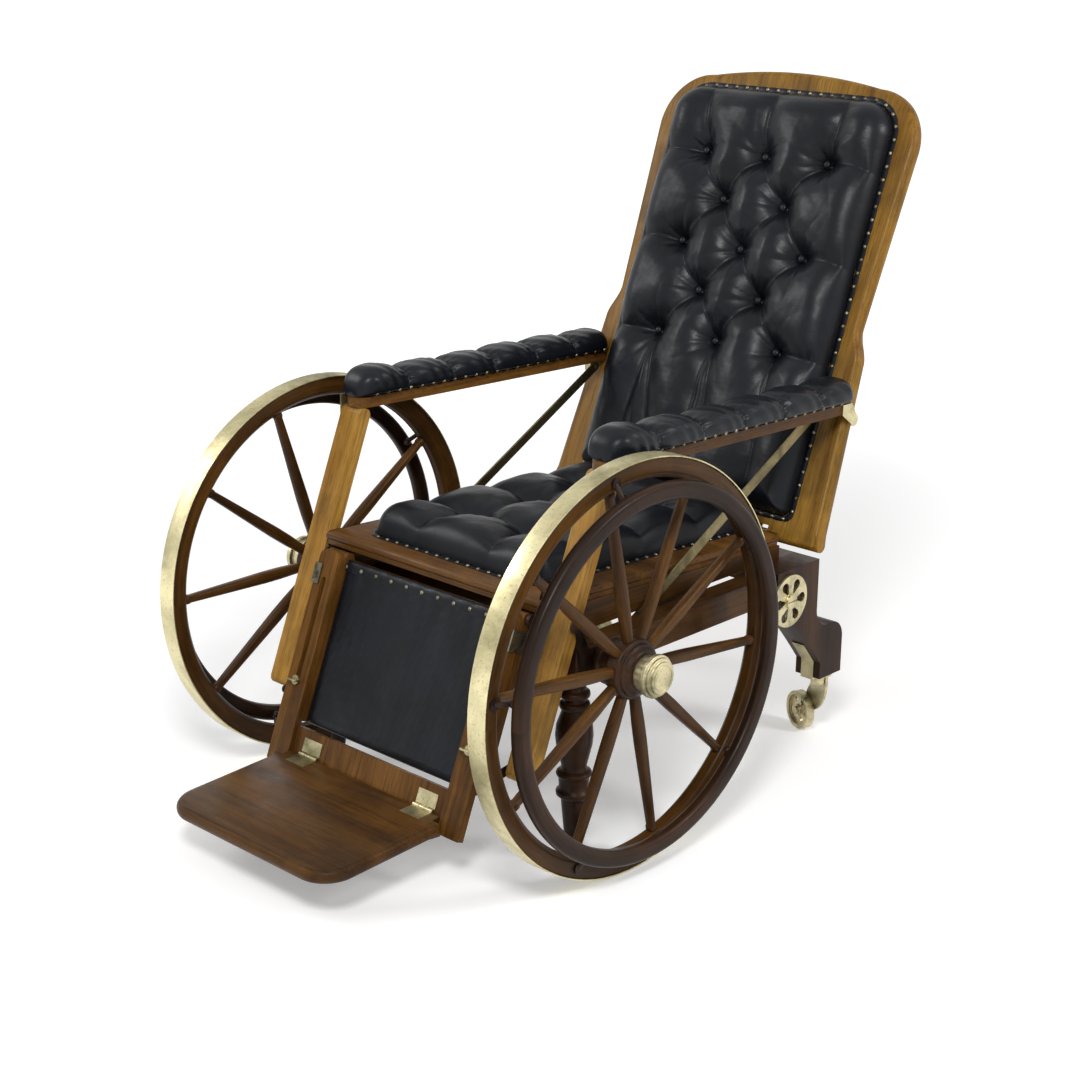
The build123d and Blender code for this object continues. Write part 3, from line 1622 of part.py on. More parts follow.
def make_chair():
    nodes = {
        "frame_rails": make_frame_rails(),
        "seat_bearers": make_seat_bearers(),
        "front_legs": make_front_legs(),
        "rear_legs": make_rear_legs(),
        "axles": make_axles(),
        "axle_collars": make_axle_collars(),
        "pivot_brackets": make_pivot_brackets(),
        "stay_clamps": make_stay_clamps(),
        "caster_plates": make_caster_plates(),
        "back_hinges_lower": make_lower_back_hinges(),
        "seat_board": make_seat_board(),
        "seat_cushion": make_seat_cushion(),
        "seat_studs": make_seat_studs(),
        "back_frame": make_back_frame(),
        "back_pad": make_back_pad(),
        "back_buttons": make_back_buttons(),
        "back_studs": make_back_studs(),
        "back_hinges_upper": make_upper_back_hinges(),
        "leg_frame": make_leg_frame(),
        "leg_panel": make_leg_panel(),
        "leg_rest_brasses": make_leg_rest_brasses(),
        "slide": make_slide(),
        "foot_hinges_upper": make_foot_hinges_upper(),
        "foot_hinges_lower": make_foot_hinges_lower(),
        "footboard": make_footboard(),
    }
    wheels = {
        "tyre": [make_tyre()],
        "felloe": [make_felloe()],
        "nave": [make_nave()],
        "hub_cap": [make_hub_cap()],
        "handrim": [make_handrim()],
        "caster_fork": [make_caster_fork()],
        "caster_wheel": [make_caster_wheel()],
        "hand_wheel": [make_hand_wheel()],
        "arm_rail": [make_arm_rail()],
        "arm_pad": [make_arm_pad()],
        "arm_brass": make_arm_brass(),
        "post": [make_post()],
        "stay": [make_stay()],
        "link": [make_link()],
        "thumb_screw": [make_thumb_screw()],
    }
    for name, solids in wheels.items():
        nodes["left_" + name] = solids
        nodes["right_" + name] = [mirrored(solid) for solid in solids]
    nodes["left_spokes"] = make_spokes(left_spoke_phase)
    nodes["right_spokes"] = [mirrored(spoke) for spoke in make_spokes(right_spoke_phase)]
    nodes["left_handrim_brackets"] = make_handrim_brackets(left_spoke_phase)
    right_brackets = make_handrim_brackets(right_spoke_phase)
    nodes["right_handrim_brackets"] = [mirrored(bracket) for bracket in right_brackets]
    return nodes


def write_chair(nodes):
    """Centre the chair over the origin and write one file for each node."""
    groups = {name: Compound(children=[part for solid in solids for part in solid.solids()])
              for name, solids in nodes.items()}
    boxes = [group.bounding_box() for group in groups.values()]
    front_y = min(box.min.Y for box in boxes)
    rear_y = max(box.max.Y for box in boxes)
    middle_y = (front_y + rear_y) / 2
    for name, group in groups.items():
        export_step(Pos(0, -middle_y, 0) * group, "parts/" + name + ".step")
    print("the axle lies at y =", round(-middle_y, 3), "and there are", len(groups), "nodes")


write_chair(make_chair())
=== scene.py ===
import json
import math

import bpy
import numpy as np
from mathutils import Matrix, Vector


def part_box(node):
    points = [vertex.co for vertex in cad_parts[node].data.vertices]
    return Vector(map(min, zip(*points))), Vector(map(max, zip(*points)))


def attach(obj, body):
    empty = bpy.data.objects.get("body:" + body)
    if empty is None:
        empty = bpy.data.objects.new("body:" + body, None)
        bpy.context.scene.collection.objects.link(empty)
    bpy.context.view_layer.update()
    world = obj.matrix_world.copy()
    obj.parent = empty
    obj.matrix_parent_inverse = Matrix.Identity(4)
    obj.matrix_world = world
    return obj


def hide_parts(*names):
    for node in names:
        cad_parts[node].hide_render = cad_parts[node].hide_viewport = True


# A reclining invalid chair of polished wood, brass and tufted black leather. Lengths are in
# metres and angles in degrees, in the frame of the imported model: +Z up and the front at -Y.

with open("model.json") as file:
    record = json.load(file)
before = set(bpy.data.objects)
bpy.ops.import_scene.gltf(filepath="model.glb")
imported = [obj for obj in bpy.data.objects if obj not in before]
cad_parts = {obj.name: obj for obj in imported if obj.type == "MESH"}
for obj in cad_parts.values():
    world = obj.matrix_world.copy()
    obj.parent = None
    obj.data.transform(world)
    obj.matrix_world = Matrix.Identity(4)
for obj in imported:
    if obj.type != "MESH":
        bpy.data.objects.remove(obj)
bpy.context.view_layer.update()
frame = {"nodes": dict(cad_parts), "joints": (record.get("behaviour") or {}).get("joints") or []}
nodes = frame["nodes"]
joint_places = {joint["name"]: joint.get("pos_m") for joint in frame["joints"]}
SIDES = {"left": 1, "right": -1}

# Angles of the leaning pieces and of the seat
LEAN = 21.7
SEAT_SLOPE = 2.86

# Angles past which the edges of a piece stay sharp
PLAIN_ANGLE = 40.0
TURNED_ANGLE = 32.0
LEG_ANGLE = 34.0
BACK_ANGLE = 45.0
BOARD_ANGLE = 30.0
LEATHER_ANGLE = 80.0
PANEL_ANGLE = 70.0
GIMP_ANGLE = 60.0

# Camera, as fitted to both wheels in the photograph
CAMERA_FROM_AXLE = (2.2205, -2.1662, 1.4687)
CAMERA_AZIMUTH = 43.475
CAMERA_ELEVATION = 18.167
CAMERA_ROLL = 0.334
CAMERA_LENS = 67.67
SENSOR_WIDTH = 36.0

# Wheels
WHEEL_STEPS = 168
TYRE_EDGE = 0.0012
FELLOE_DEPTH = 0.032
FELLOE_CHAMFER = 0.0078
HANDRIM_DEPTH = 0.028
HANDRIM_ROUND = 0.0085
SPOKE_COUNT = 10
SPOKE_PHASES = {"left": 101.2, "right": 107.3}
SPOKE_SIDES = 20
SPOKE_SEATING = 0.001
NAVE_RADIUS = 0.048
NAVE_EDGE = 0.0018
HUB_EDGE = 0.0011
HUB_FACE_GROOVE = 0.0205

# Front legs, turned below a square block
LEG_INSET = 0.030
LEG_EDGE = 0.0012
LEG_BLOCK_HALF = 0.023
LEG_BLOCK_EDGE = 0.002
LEG_BLOCK_START = 0.841

# Back frame
BACK_HALF = 0.012
BACK_BOTTOM_HALF_WIDTH = 0.308
BACK_HIP = (0.289, 0.316)
BACK_WAIST = (0.270, 0.376)
BACK_SHOULDER_HALF_WIDTH = 0.283
BACK_SHOULDER_RADIUS = 0.100
BACK_HEIGHT = 0.807
BACK_CREST_RISE = 0.016
BACK_EDGE_ROUND = 0.011
BACK_REAR_ROUND = 0.004
HINGE_CENTRE_X = 0.170
HINGE_POCKET_HALF = 0.0303
HINGE_POCKET_RISE = 0.012

# Back pad
PAD_HALF_WIDTH = 0.236
PAD_BOTTOM = 0.034
PAD_TOP = 0.764
PAD_CORNER = 0.060
PAD_FOOT_CORNER = 0.014
PAD_CROWN = 0.055
PAD_ROLL = 0.052
PAD_DENSITY = 0.0023
PAD_SEED = 11
BUTTON_TOP = 0.643
BUTTON_ROW_PITCH = 0.0845
BUTTON_COLUMN_PITCH = 0.067
BUTTON_SEATING = 0.001
TUFT_DEPTH = 0.034
TUFT_REACH = 0.025
PLEAT_WIDTH = 0.024
PLEAT_DEPTH = 0.0145
CREASE_WIDTH = 0.0030
CREASE_DEPTH = 0.0012
FOLD_DEPTH = 0.0048
FOLD_REACH = 0.024
CAMBER = 0.10

# Nails and gimp
NAIL_RADIUS = 0.0038
NAIL_HEIGHT = 0.0026
NAIL_PITCH = 0.0235
GIMP_WIDTH = 0.0105
GIMP_HEIGHT = 0.0016

# Seat board and cushion. A moulding has the inset of its edge at shares of the thickness below
# the top.
SEAT_HALF_WIDTH = 0.247
SEAT_THICKNESS = 0.022
SEAT_CORNER = 0.003
SEAT_MOULDING = (
    (0.0030, 1), (0.0022, 0.62), (0.0030, 0.60), (0.0006, 0.52), (0.0, 0.40),
    (0.0004, 0.26), (0.0020, 0.12), (0.0046, 0.03), (0.0068, 0),
)
CUSHION_HALF_WIDTH = 0.193
CUSHION_FRONT = 0.046
CUSHION_LENGTH = 0.532
CUSHION_CORNER = 0.036
CUSHION_CROWN = 0.059
CUSHION_ROLL = 0.046
CUSHION_DENSITY = 0.0026
CUSHION_SEED = 23
CUSHION_TUFT_X = 0.065
CUSHION_TUFT_PITCH = 0.143

# Arms, measured from the pin at their rear end and tilted up to the front
ARM_PUFFS = 6
ARM_NAIL_PITCH = 0.026
ARM_TILT = 1.638
ARM_BULGE = 0.0075
ARM_BULGE_REACH = 0.045
ARM_PAD_FRONT = -0.6224
ARM_PAD_REAR = -0.002
ARM_PAD_FOOT = 0.0305
ARM_PAD_HEIGHT = 0.044
ARM_PAD_INNER_X = 0.242
ARM_PAD_WIDTH = 0.072
ARM_PAD_ROWS = 300
ARM_PAD_SIDES = 56
ARM_PAD_SEEDS = {"left": 31, "right": 37}
ARM_END_LENGTH = 0.034
ARM_SEAM_DEPTH = 0.0075
ARM_SEAM_WIDTH = 0.016
ARM_STITCH_DEPTH = 0.0022
ARM_STITCH_WIDTH = 0.0022
ARM_GATHER_DEPTH = 0.0012
ARM_GATHER_REACH = 0.014
ARM_CREASE_DEPTH = 0.0006
ARM_NAIL_START = 0.03
ARM_NAIL_END = 0.02
ARM_NAIL_RISE = 0.0055
ARM_NAIL_SINK = 0.0042

# Leg rest
LEG_PANEL_HALF_WIDTH = 0.1795
LEG_PANEL_LENGTH = 0.277
LEG_PANEL_FACE = 0.0035
LEG_PANEL_PUFF = 0.0055
LEG_PANEL_GRID = (150, 120)
LEG_PANEL_EDGE = 0.014
LEG_PANEL_SINK = 0.002
LEG_PANEL_BACK = 0.0055
LEG_RIPPLE_DEPTH = 0.0011
LEG_RIPPLE_REACH = 0.030
LEG_DRAPE_DEPTH = 0.0014
LEG_DRAPE_SHARES = (1.0, 0.45)
LEG_DRAPE_SCALE = 0.11
LEG_DRAPE_SEED = 41
LEG_CREASE_DEPTH = 0.0004
LEG_CREASE_SCALE = 0.02
LEG_CREASE_SEED = 43
LEG_NAIL_PITCH = 0.036
LEG_NAIL_MARGIN = 0.012
LEG_STRIP_WIDTH = 0.016
LEG_STRIP_INSET = 0.004
LEG_STRIP_RISE = 0.0030

# Footboard
FOOTBOARD_HALF_WIDTH = 0.194
FOOTBOARD_TONGUE_HALF = 0.177
FOOTBOARD_TONGUE = 0.017
FOOTBOARD_LENGTH = 0.247
FOOTBOARD_THICKNESS = 0.021
FOOTBOARD_MOULDING = (
    (0.0050, 1), (0.0022, 0.90), (0.0004, 0.72), (0.0, 0.5), (0.0008, 0.30),
    (0.0034, 0.14), (0.0080, 0.085), (0.0086, 0.03), (0.0100, 0),
)
FOOTBOARD_CORNER = 0.056
FOOTBOARD_DIP = 2.3
FOOTBOARD_START = 0.0037
FOOTBOARD_SHOULDER = 0.02

# Lamps, with their place, size and power, and the point that they face
LAMPS = (
    ("key", (1.9, -2.4, 3.1), 0.9, 88),
    ("side", (2.9, 1.2, 2.3), 0.8, 42),
    ("fill", (-2.8, -1.8, 2.4), 1.4, 40),
)
LAMP_TARGET = (0, 0.1, 0.5)

# Floor, which is white where it is lit and far away, and the light of the room
WHITE = (1, 1, 1)
FLOOR_COLOUR = (0.82, 0.82, 0.82)
FLOOR_HALF = 60.0
FLOOR_DROP = 0.0005
FLOOR_NEAR = 1.2
FLOOR_FAR = 3.6
FLOOR_NEAR_GLOW = 0.30
FLOOR_FAR_GLOW = 0.80
AMBIENT = 0.45


# Mesh helpers

# Turns the X axis up
UPRIGHT = Matrix.Rotation(-math.pi / 2, 4, "Y")


def new_piece(name, points_and_faces, material, sharp_angle):
    """A smooth-shaded mesh object with edges kept sharp past an angle."""
    vertices, faces = points_and_faces
    mesh = bpy.data.meshes.new(name)
    mesh.from_pydata([tuple(map(float, vertex)) for vertex in vertices], [], faces)
    mesh.validate()
    mesh.shade_smooth()
    mesh.set_sharp_from_angle(angle=math.radians(sharp_angle))
    mesh.materials.append(material)
    piece = bpy.data.objects.new(name, mesh)
    bpy.context.scene.collection.objects.link(piece)
    return piece


def add_piece(name, points_and_faces, material, sharp_angle, slot, body, *replaced):
    """A piece with its finish and its body, which stands for the nodes it replaces."""
    piece = new_piece(name, points_and_faces, materials[material], sharp_angle)
    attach(piece, body)
    if replaced:
        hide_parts(*replaced)
    return piece


def join_meshes(parts):
    """Vertices and faces of several (vertices, faces) pairs in one list each."""
    vertices = []
    faces = []
    for part_vertices, part_faces in parts:
        start = len(vertices)
        vertices.extend(part_vertices)
        faces.extend([tuple(start + index for index in face) for face in part_faces])
    return vertices, faces


def placed(points, matrix):
    """Points in a piece's own axes, carried into the frame."""
    return [matrix @ Vector(point) for point in points]


def rotation_about(axis, degrees):
    return Matrix.Rotation(math.radians(degrees), 4, axis)


def shifted(x, y, z):
    return Matrix.Translation((x, y, z))


def leaned(joint):
    """Axes of a leaning piece on a joint: X across, Y up the slope and Z out of its front face."""
    return shifted(*joint_places[joint]) @ rotation_about("X", 90 - LEAN)


def sloped(y, z, angle):
    """Axes of a nearly level piece: Y runs down the slope to the rear and Z is up."""
    return shifted(0, y, z) @ rotation_about("X", -angle)


def ring_faces(rings, sides, loop=False, round_section=True):
    """Quads between rings of points.

    A loop joins the last ring to the first, and a round section joins each ring's two ends.
    """
    faces = []
    for ring in range(rings if loop else rings - 1):
        low = ring * sides
        high = (ring + 1) % rings * sides
        for index in range(sides if round_section else sides - 1):
            other = (index + 1) % sides
            faces.append((low + index, low + other, high + other, high + index))
    return faces


def flipped(faces):
    return [(face[0], *reversed(face[1:])) for face in faces]


def grid_rim(count_x, count_y):
    """The border of a grid of points, once round."""
    rim = list(range(count_x))
    rim += [row * count_x + count_x - 1 for row in range(1, count_y)]
    rim += [(count_y - 1) * count_x + column for column in range(count_x - 2, -1, -1)]
    return rim + [row * count_x for row in range(count_y - 2, 0, -1)]


def lathe(profile, matrix, steps, closed=False):
    """Turns (t, radius) points round the X axis of the matrix."""
    count = len(profile)
    vertices = []
    for step in range(steps):
        angle = 2 * math.pi * step / steps
        for along, radius in profile:
            vertices.append((along, radius * math.cos(angle), radius * math.sin(angle)))
    return placed(vertices, matrix), ring_faces(steps, count, True, closed)


def rounded(profile, radius, closed=False, steps=3):
    """The profile with each corner rounded off."""
    points = [np.array(point, float) for point in profile]
    count = len(points)
    result = []
    for index, point in enumerate(points):
        if not closed and index in (0, count - 1):
            result.append(tuple(point))
            continue
        before = points[index - 1] - point
        after = points[(index + 1) % count] - point
        cut = min(radius, 0.45 * np.linalg.norm(before), 0.45 * np.linalg.norm(after))
        start = point + before / max(np.linalg.norm(before), 1e-9) * cut
        end = point + after / max(np.linalg.norm(after), 1e-9) * cut
        for step in range(steps + 1):
            share = step / steps
            rest = 1 - share
            result.append(tuple(rest ** 2 * start + 2 * share * rest * point + share ** 2 * end))
    return result


def arc(centre, radius, start, end, steps):
    """Points on a circle between two angles."""
    angles = [math.radians(start + (end - start) * step / steps) for step in range(steps + 1)]
    return [(centre[0] + radius * math.cos(a), centre[1] + radius * math.sin(a)) for a in angles]


def outline_normals(points):
    """Outward mitred normals of a closed outline that runs anticlockwise."""
    points = np.array(points)
    along = np.roll(points, -1, axis=0) - points
    along = along / np.maximum(np.linalg.norm(along, axis=1, keepdims=True), 1e-9)
    edge_normals = np.stack([along[:, 1], -along[:, 0]], axis=1)
    before = np.roll(edge_normals, 1, axis=0)
    turn = 1 + np.sum(before * edge_normals, axis=1, keepdims=True)
    return (before + edge_normals) / np.maximum(turn, 0.4)


def moulded_slab(outline, rings, matrix, shares=None, foot_radius=None):
    """A board with a moulded edge: rings of (inset, height) from its back face to its front face.

    Each outline point takes its share of the insets. Where a foot radius is given, the points at
    the foot follow a circle about the X axis instead.
    """
    points = np.array(outline)
    normals = outline_normals(outline)
    share_column = np.ones(len(points)) if shares is None else np.array(shares)
    vertices = []
    for inset, height in rings:
        ring = points - normals * (share_column * inset)[:, None]
        if foot_radius is not None:
            on_foot = points[:, 1] <= 0
            ring[on_foot, 1] = -math.sqrt(max(foot_radius ** 2 - height ** 2, 0.0))
        vertices.extend([(x, y, height) for x, y in ring])
    count = len(points)
    faces = [tuple(reversed(range(count)))] + ring_faces(len(rings), count)
    faces.append(tuple(range((len(rings) - 1) * count, len(rings) * count)))
    return placed(vertices, matrix), faces


# Materials

WOOD_SHEEN = 0.14
LEATHER_SHEEN = 0.20
materials = {}


def shader_tree(name):
    """The nodes and the shader of a new material, which is kept under its name."""
    materials[name] = bpy.data.materials.new(name)
    materials[name].use_nodes = True
    tree = materials[name].node_tree
    return tree, tree.nodes["Principled BSDF"]


def wire(tree, made, sockets):
    """Sets a node's inputs, by name or number, to values or to the outputs of other nodes."""
    for key, value in sockets.items():
        socket = made.inputs[key]
        if isinstance(value, bpy.types.NodeSocket):
            tree.links.new(value, socket)
        else:
            socket.default_value = (*value, 1) if socket.type == "RGBA" else value


def node(tree, kind, sockets=None, **settings):
    made = tree.nodes.new("ShaderNode" + kind)
    for key, value in settings.items():
        setattr(made, key, value)
    wire(tree, made, sockets or {})
    return made


def math_node(tree, operation, first, second=None):
    sockets = {0: first} if second is None else {0: first, 1: second}
    return node(tree, "Math", sockets, operation=operation).outputs[0]


def split_axes(tree, vector):
    return node(tree, "SeparateXYZ", {0: vector}).outputs


def object_place(tree):
    return node(tree, "TexCoord").outputs["Object"]


def root_of_squares(tree, first, second):
    squares = [math_node(tree, "MULTIPLY", value, value) for value in (first, second)]
    return math_node(tree, "SQRT", math_node(tree, "ADD", *squares))


def scaled(tree, vector, scale, rotation=(0, 0, 0), shift=(0, 0, 0)):
    turn = [math.radians(angle) for angle in rotation]
    sockets = {"Vector": vector, "Scale": scale, "Rotation": turn, "Location": shift}
    return node(tree, "Mapping", sockets).outputs[0]


def noise(tree, vector, scale, detail=4.0, roughness=0.55, distortion=0.0):
    sockets = {"Vector": vector, "Scale": scale, "Detail": detail, "Roughness": roughness}
    return node(tree, "TexNoise", {**sockets, "Distortion": distortion}).outputs[0]


def cells(tree, vector, scale):
    """The distance to the edges of a field of cells."""
    sockets = {"Vector": vector, "Scale": scale}
    return node(tree, "TexVoronoi", sockets, feature="DISTANCE_TO_EDGE").outputs[0]


def ramp(tree, factor, stops):
    """A colour ramp over (position, value or colour) stops."""
    made = node(tree, "ValToRGB", {0: factor})
    elements = made.color_ramp.elements
    while len(elements) < len(stops):
        elements.new(0.5)
    for element, (position, colour) in zip(elements, stops):
        element.position = position
        grey = isinstance(colour, (int, float))
        element.color = (colour, colour, colour, 1) if grey else (*colour, 1)
    return made.outputs[0]


def blend_colours(tree, factor, first, second, mode="MIX"):
    sockets = {0: factor, 6: first, 7: second}
    return node(tree, "Mix", sockets, data_type="RGBA", blend_type=mode).outputs[2]


def darkened(tree, base, layers):
    """The base multiplied by (strength, field, stops) layers."""
    for strength, field, stops in layers:
        base = blend_colours(tree, strength, base, ramp(tree, field, stops), "MULTIPLY")
    return base


def bump(tree, shader, heights):
    """Chains (height, strength, distance) bumps into the shader's normal."""
    chain = {}
    for height, strength, distance in heights:
        sockets = {"Height": height, "Strength": strength, "Distance": distance, **chain}
        chain = {"Normal": node(tree, "Bump", sockets).outputs[0]}
    wire(tree, shader, chain)


def polar_vector(tree, vector, centre, along_radius):
    """Coordinates round a wheel, with the grain along the rim or along the spokes."""
    axes = split_axes(tree, vector)
    y, z = (math_node(tree, "SUBTRACT", axes[axis], centre[axis]) for axis in (1, 2))
    radius = root_of_squares(tree, y, z)
    rim = math_node(tree, "MULTIPLY", math_node(tree, "ARCTAN2", z, y), 0.3)
    order = (rim, axes[0], radius) if along_radius else (radius, axes[0], rim)
    return node(tree, "CombineXYZ", dict(enumerate(order))).outputs[0]


def wood(name, tones, rotation=(0, 0, 0), wheel=None, along_radius=False, shift=(0, 0, 0)):
    """Polished wood with its grain along Z after the rotation, or round a wheel."""
    tree, shader = shader_tree(name)
    pale, deep = tones
    vector = object_place(tree)
    if wheel is not None:
        vector = polar_vector(tree, vector, wheel, along_radius)
    vector = scaled(tree, vector, (1, 1, 1), rotation, shift)
    figure = noise(tree, scaled(tree, vector, (16, 16, 1.6)), 1.0, 3.0, 0.5, 0.9)
    streaks = noise(tree, scaled(tree, vector, (150, 150, 5)), 1.0, 5.0, 0.6, 0.2)
    pores = noise(tree, scaled(tree, vector, (900, 900, 26)), 1.0, 2.0, 0.5)
    stains = noise(tree, vector, 7.0, 4.0, 0.6, 0.4)
    base = blend_colours(tree, ramp(tree, figure, [(0.34, 0.0), (0.68, 1.0)]), deep, pale)
    base = darkened(tree, base, (
        (0.75, streaks, [(0.30, 0.50), (0.52, 1.0), (0.8, 1.12)]),
        (0.55, pores, [(0.36, 0.25), (0.46, 1.0)]),
        (0.8, stains, [(0.30, 0.42), (0.55, 1.0)]),
    ))
    worn = noise(tree, vector, 22.0, 6.0, 0.65)
    gloss = ramp(tree, worn, [(0.3, 0.26), (0.75, 0.48)])
    wire(tree, shader, {"Base Color": base, "Roughness": gloss, "Specular IOR Level": WOOD_SHEEN})
    bump(tree, shader, [(pores, 0.25, 0.0003), (worn, 0.25, 0.0006)])


def brass(name, bright=(0.74, 0.66, 0.40), dull=(0.10, 0.092, 0.038), patch_scale=9.0, dull_share=0.55):
    """Old brass: polished where it is rubbed and olive-brown where it isn't."""
    tree, shader = shader_tree(name)
    vector = object_place(tree)
    patches = noise(tree, vector, patch_scale, 6.0, 0.62, 0.5)
    specks = noise(tree, vector, 260.0, 3.0, 0.6)
    scratches = noise(tree, scaled(tree, vector, (60, 900, 900)), 1.0, 2.0, 0.5)
    tone = ramp(tree, patches, [(dull_share - 0.22, 0.0), (dull_share + 0.13, 1.0)])
    base = blend_colours(tree, tone, dull, bright)
    base = darkened(tree, base, ((0.6, specks, [(0.30, 0.35), (0.42, 1.0)]),))
    rough = blend_colours(tree, 0.35, ramp(tree, patches, [(0.3, 0.5), (0.7, 0.24)]), scratches)
    wire(tree, shader, {"Base Color": base, "Metallic": 1.0, "Roughness": rough})
    bump(tree, shader, [(scratches, 0.15, 0.0002), (patches, 0.2, 0.0008)])


def iron(name):
    tree, shader = shader_tree(name)
    rust = noise(tree, object_place(tree), 40.0, 6.0, 0.6)
    base = ramp(tree, rust, [(0.35, (0.012, 0.010, 0.009)), (0.62, (0.05, 0.024, 0.014))])
    rough = ramp(tree, rust, [(0.3, 0.35), (0.7, 0.6)])
    wire(tree, shader, {"Base Color": base, "Metallic": 0.7, "Roughness": rough})
    bump(tree, shader, [(rust, 0.3, 0.0005)])


def leather(name):
    """Waxed black leather with a fine grain, hairline cracks and rubbed patches."""
    tree, shader = shader_tree(name)
    vector = object_place(tree)
    grain = cells(tree, vector, 620.0)
    cracks = cells(tree, scaled(tree, vector, (1.0, 0.55, 1.0)), 75.0)
    rubbed = noise(tree, vector, 11.0, 5.0, 0.6, 0.6)
    creases = noise(tree, vector, 85.0, 5.0, 0.62, 1.2)
    base = ramp(tree, rubbed, [(0.35, (0.0022, 0.0027, 0.0042)), (0.72, (0.0075, 0.0090, 0.0130))])
    gloss = blend_colours(tree, 0.12, ramp(tree, rubbed, [(0.3, 0.40), (0.7, 0.27)]), creases)
    wire(tree, shader, {"Base Color": base, "Roughness": gloss, "Specular IOR Level": LEATHER_SHEEN})
    bump(tree, shader, [
        (ramp(tree, grain, [(0.0, 0.0), (0.3, 1.0)]), 0.10, 0.0002),
        (ramp(tree, cracks, [(0.0, 0.0), (0.06, 1.0)]), 0.08, 0.0004),
        (creases, 0.12, 0.0010),
    ])


HONEY = ((0.52, 0.285, 0.062), (0.29, 0.138, 0.022))
AMBER = ((0.34, 0.180, 0.026), (0.17, 0.076, 0.009))
TAN = ((0.20, 0.088, 0.018), (0.085, 0.034, 0.007))
RED_BROWN = ((0.115, 0.048, 0.008), (0.044, 0.018, 0.004))
DARK = ((0.052, 0.022, 0.009), (0.018, 0.008, 0.004))
ACROSS = (0, 90, 0)
LENGTHWISE = (90, 0, 0)
LEANING = (LEAN, 0, 0)

wood("amber_leaning", AMBER, LEANING)
wood("amber_across", TAN, ACROSS)
wood("honey_leaning", HONEY, LEANING, shift=(0.7, 0.2, 0.1))
wood("tan_leaning", TAN, LEANING, shift=(0.3, 0.1, 0))
wood("tan_lengthwise", TAN, LENGTHWISE)
wood("red_across", RED_BROWN, ACROSS)
wood("red_lengthwise", RED_BROWN, LENGTHWISE)
wood("dark_upright", DARK)
wood("dark_across", DARK, ACROSS)
brass("brass")
brass("tyre_brass", (0.78, 0.70, 0.42), (0.17, 0.150, 0.066), 7.0, 0.50)
brass("bright_brass", (0.62, 0.55, 0.34), (0.09, 0.085, 0.040), 24.0, 0.46)
brass("stay_brass", (0.30, 0.24, 0.12), (0.07, 0.062, 0.034), 14.0)
brass("nail", (0.30, 0.27, 0.19), (0.06, 0.052, 0.035), 60.0)
iron("iron")
leather("leather")
for side in SIDES:
    centre = joint_places[side + "_wheel_spin"]
    wood(side + "_rim", DARK, wheel=centre)
    wood(side + "_felloe", RED_BROWN, wheel=centre, shift=(0, 0, 3))
    wood(side + "_spoke", RED_BROWN, wheel=centre, along_radius=True)


# CAD pieces that keep their shape

WELD_REACH = 0.00002
SOFT_ANGLE = 38


def keep(name, material, edge):
    """Gives a kept piece its finish and, where an edge is given, softens its corners."""
    piece = nodes[name]
    for material_slot in piece.material_slots:
        material_slot.material = materials[material]
    if edge:
        weld = piece.modifiers.new("weld", "WELD")
        weld.merge_threshold = WELD_REACH
        soft = piece.modifiers.new("soft_edges", "BEVEL")
        soft.width = edge
        soft.segments = 3
        soft.limit_method = "ANGLE"
        soft.angle_limit = math.radians(SOFT_ANGLE)


KEPT = (
    ("frame_rails", "red_lengthwise", 0.0),
    ("seat_bearers", "red_lengthwise", 0.001),
    ("rear_legs", "dark_upright", 0.002),
    ("axles", "iron", 0.0),
    ("axle_collars", "brass", 0.0),
    ("pivot_brackets", "iron", 0.0006),
    ("stay_clamps", "brass", 0.0006),
    ("caster_plates", "brass", 0.0006),
    ("back_hinges_lower", "brass", 0.0004),
    ("back_hinges_upper", "brass", 0.0004),
    ("leg_frame", "tan_leaning", 0.0015),
    ("slide", "tan_leaning", 0.0025),
    ("leg_rest_brasses", "nail", 0.0),
    ("foot_hinges_upper", "brass", 0.0003),
    ("foot_hinges_lower", "brass", 0.0003),
)
KEPT_ON_EACH_SIDE = (
    ("handrim_brackets", "iron", 0.0),
    ("caster_fork", "bright_brass", 0.001),
    ("caster_wheel", "bright_brass", 0.0008),
    ("hand_wheel", "bright_brass", 0.0012),
    ("arm_rail", "tan_lengthwise", 0.003),
    ("arm_brass", "brass", 0.0006),
    ("post", "honey_leaning", 0.0035),
    ("stay", "stay_brass", 0.0008),
    ("link", "iron", 0.0006),
    ("thumb_screw", "brass", 0.0006),
)


def keep_cad_pieces():
    for name, material, edge in KEPT:
        keep(name, material, edge)
    for side in SIDES:
        for name, material, edge in KEPT_ON_EACH_SIDE:
            keep(side + "_" + name, material, edge)


# Wheels


def wheel_axes(side):
    """Axes of a wheel with X pointing outwards and the origin on the axle at the middle plane."""
    centre = joint_places[side + "_wheel_spin"]
    flip = Matrix.Diagonal((SIDES[side], 1, 1, 1))
    return shifted(0, *centre[1:]) @ flip


def span_x(name):
    """Nearest and furthest distance of a node from the middle of the chair."""
    low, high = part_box(name)
    return min(abs(low[0]), abs(high[0])), max(abs(low[0]), abs(high[0]))


def outer_radius(name):
    low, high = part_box(name)
    return (high[2] - low[2]) / 2


def turned(side, name, profile, material, slot, closed=False):
    """A turned wheel piece that stands for the node of the same name."""
    mesh = lathe(profile, wheel_axes(side), WHEEL_STEPS, closed)
    name = side + "_" + name
    add_piece(name + "_turned", mesh, material, TURNED_ANGLE, slot, side + "_wheel_body", name)


def square_section(start, end, inner, outer):
    return [(start, inner), (end, inner), (end, outer), (start, outer)]


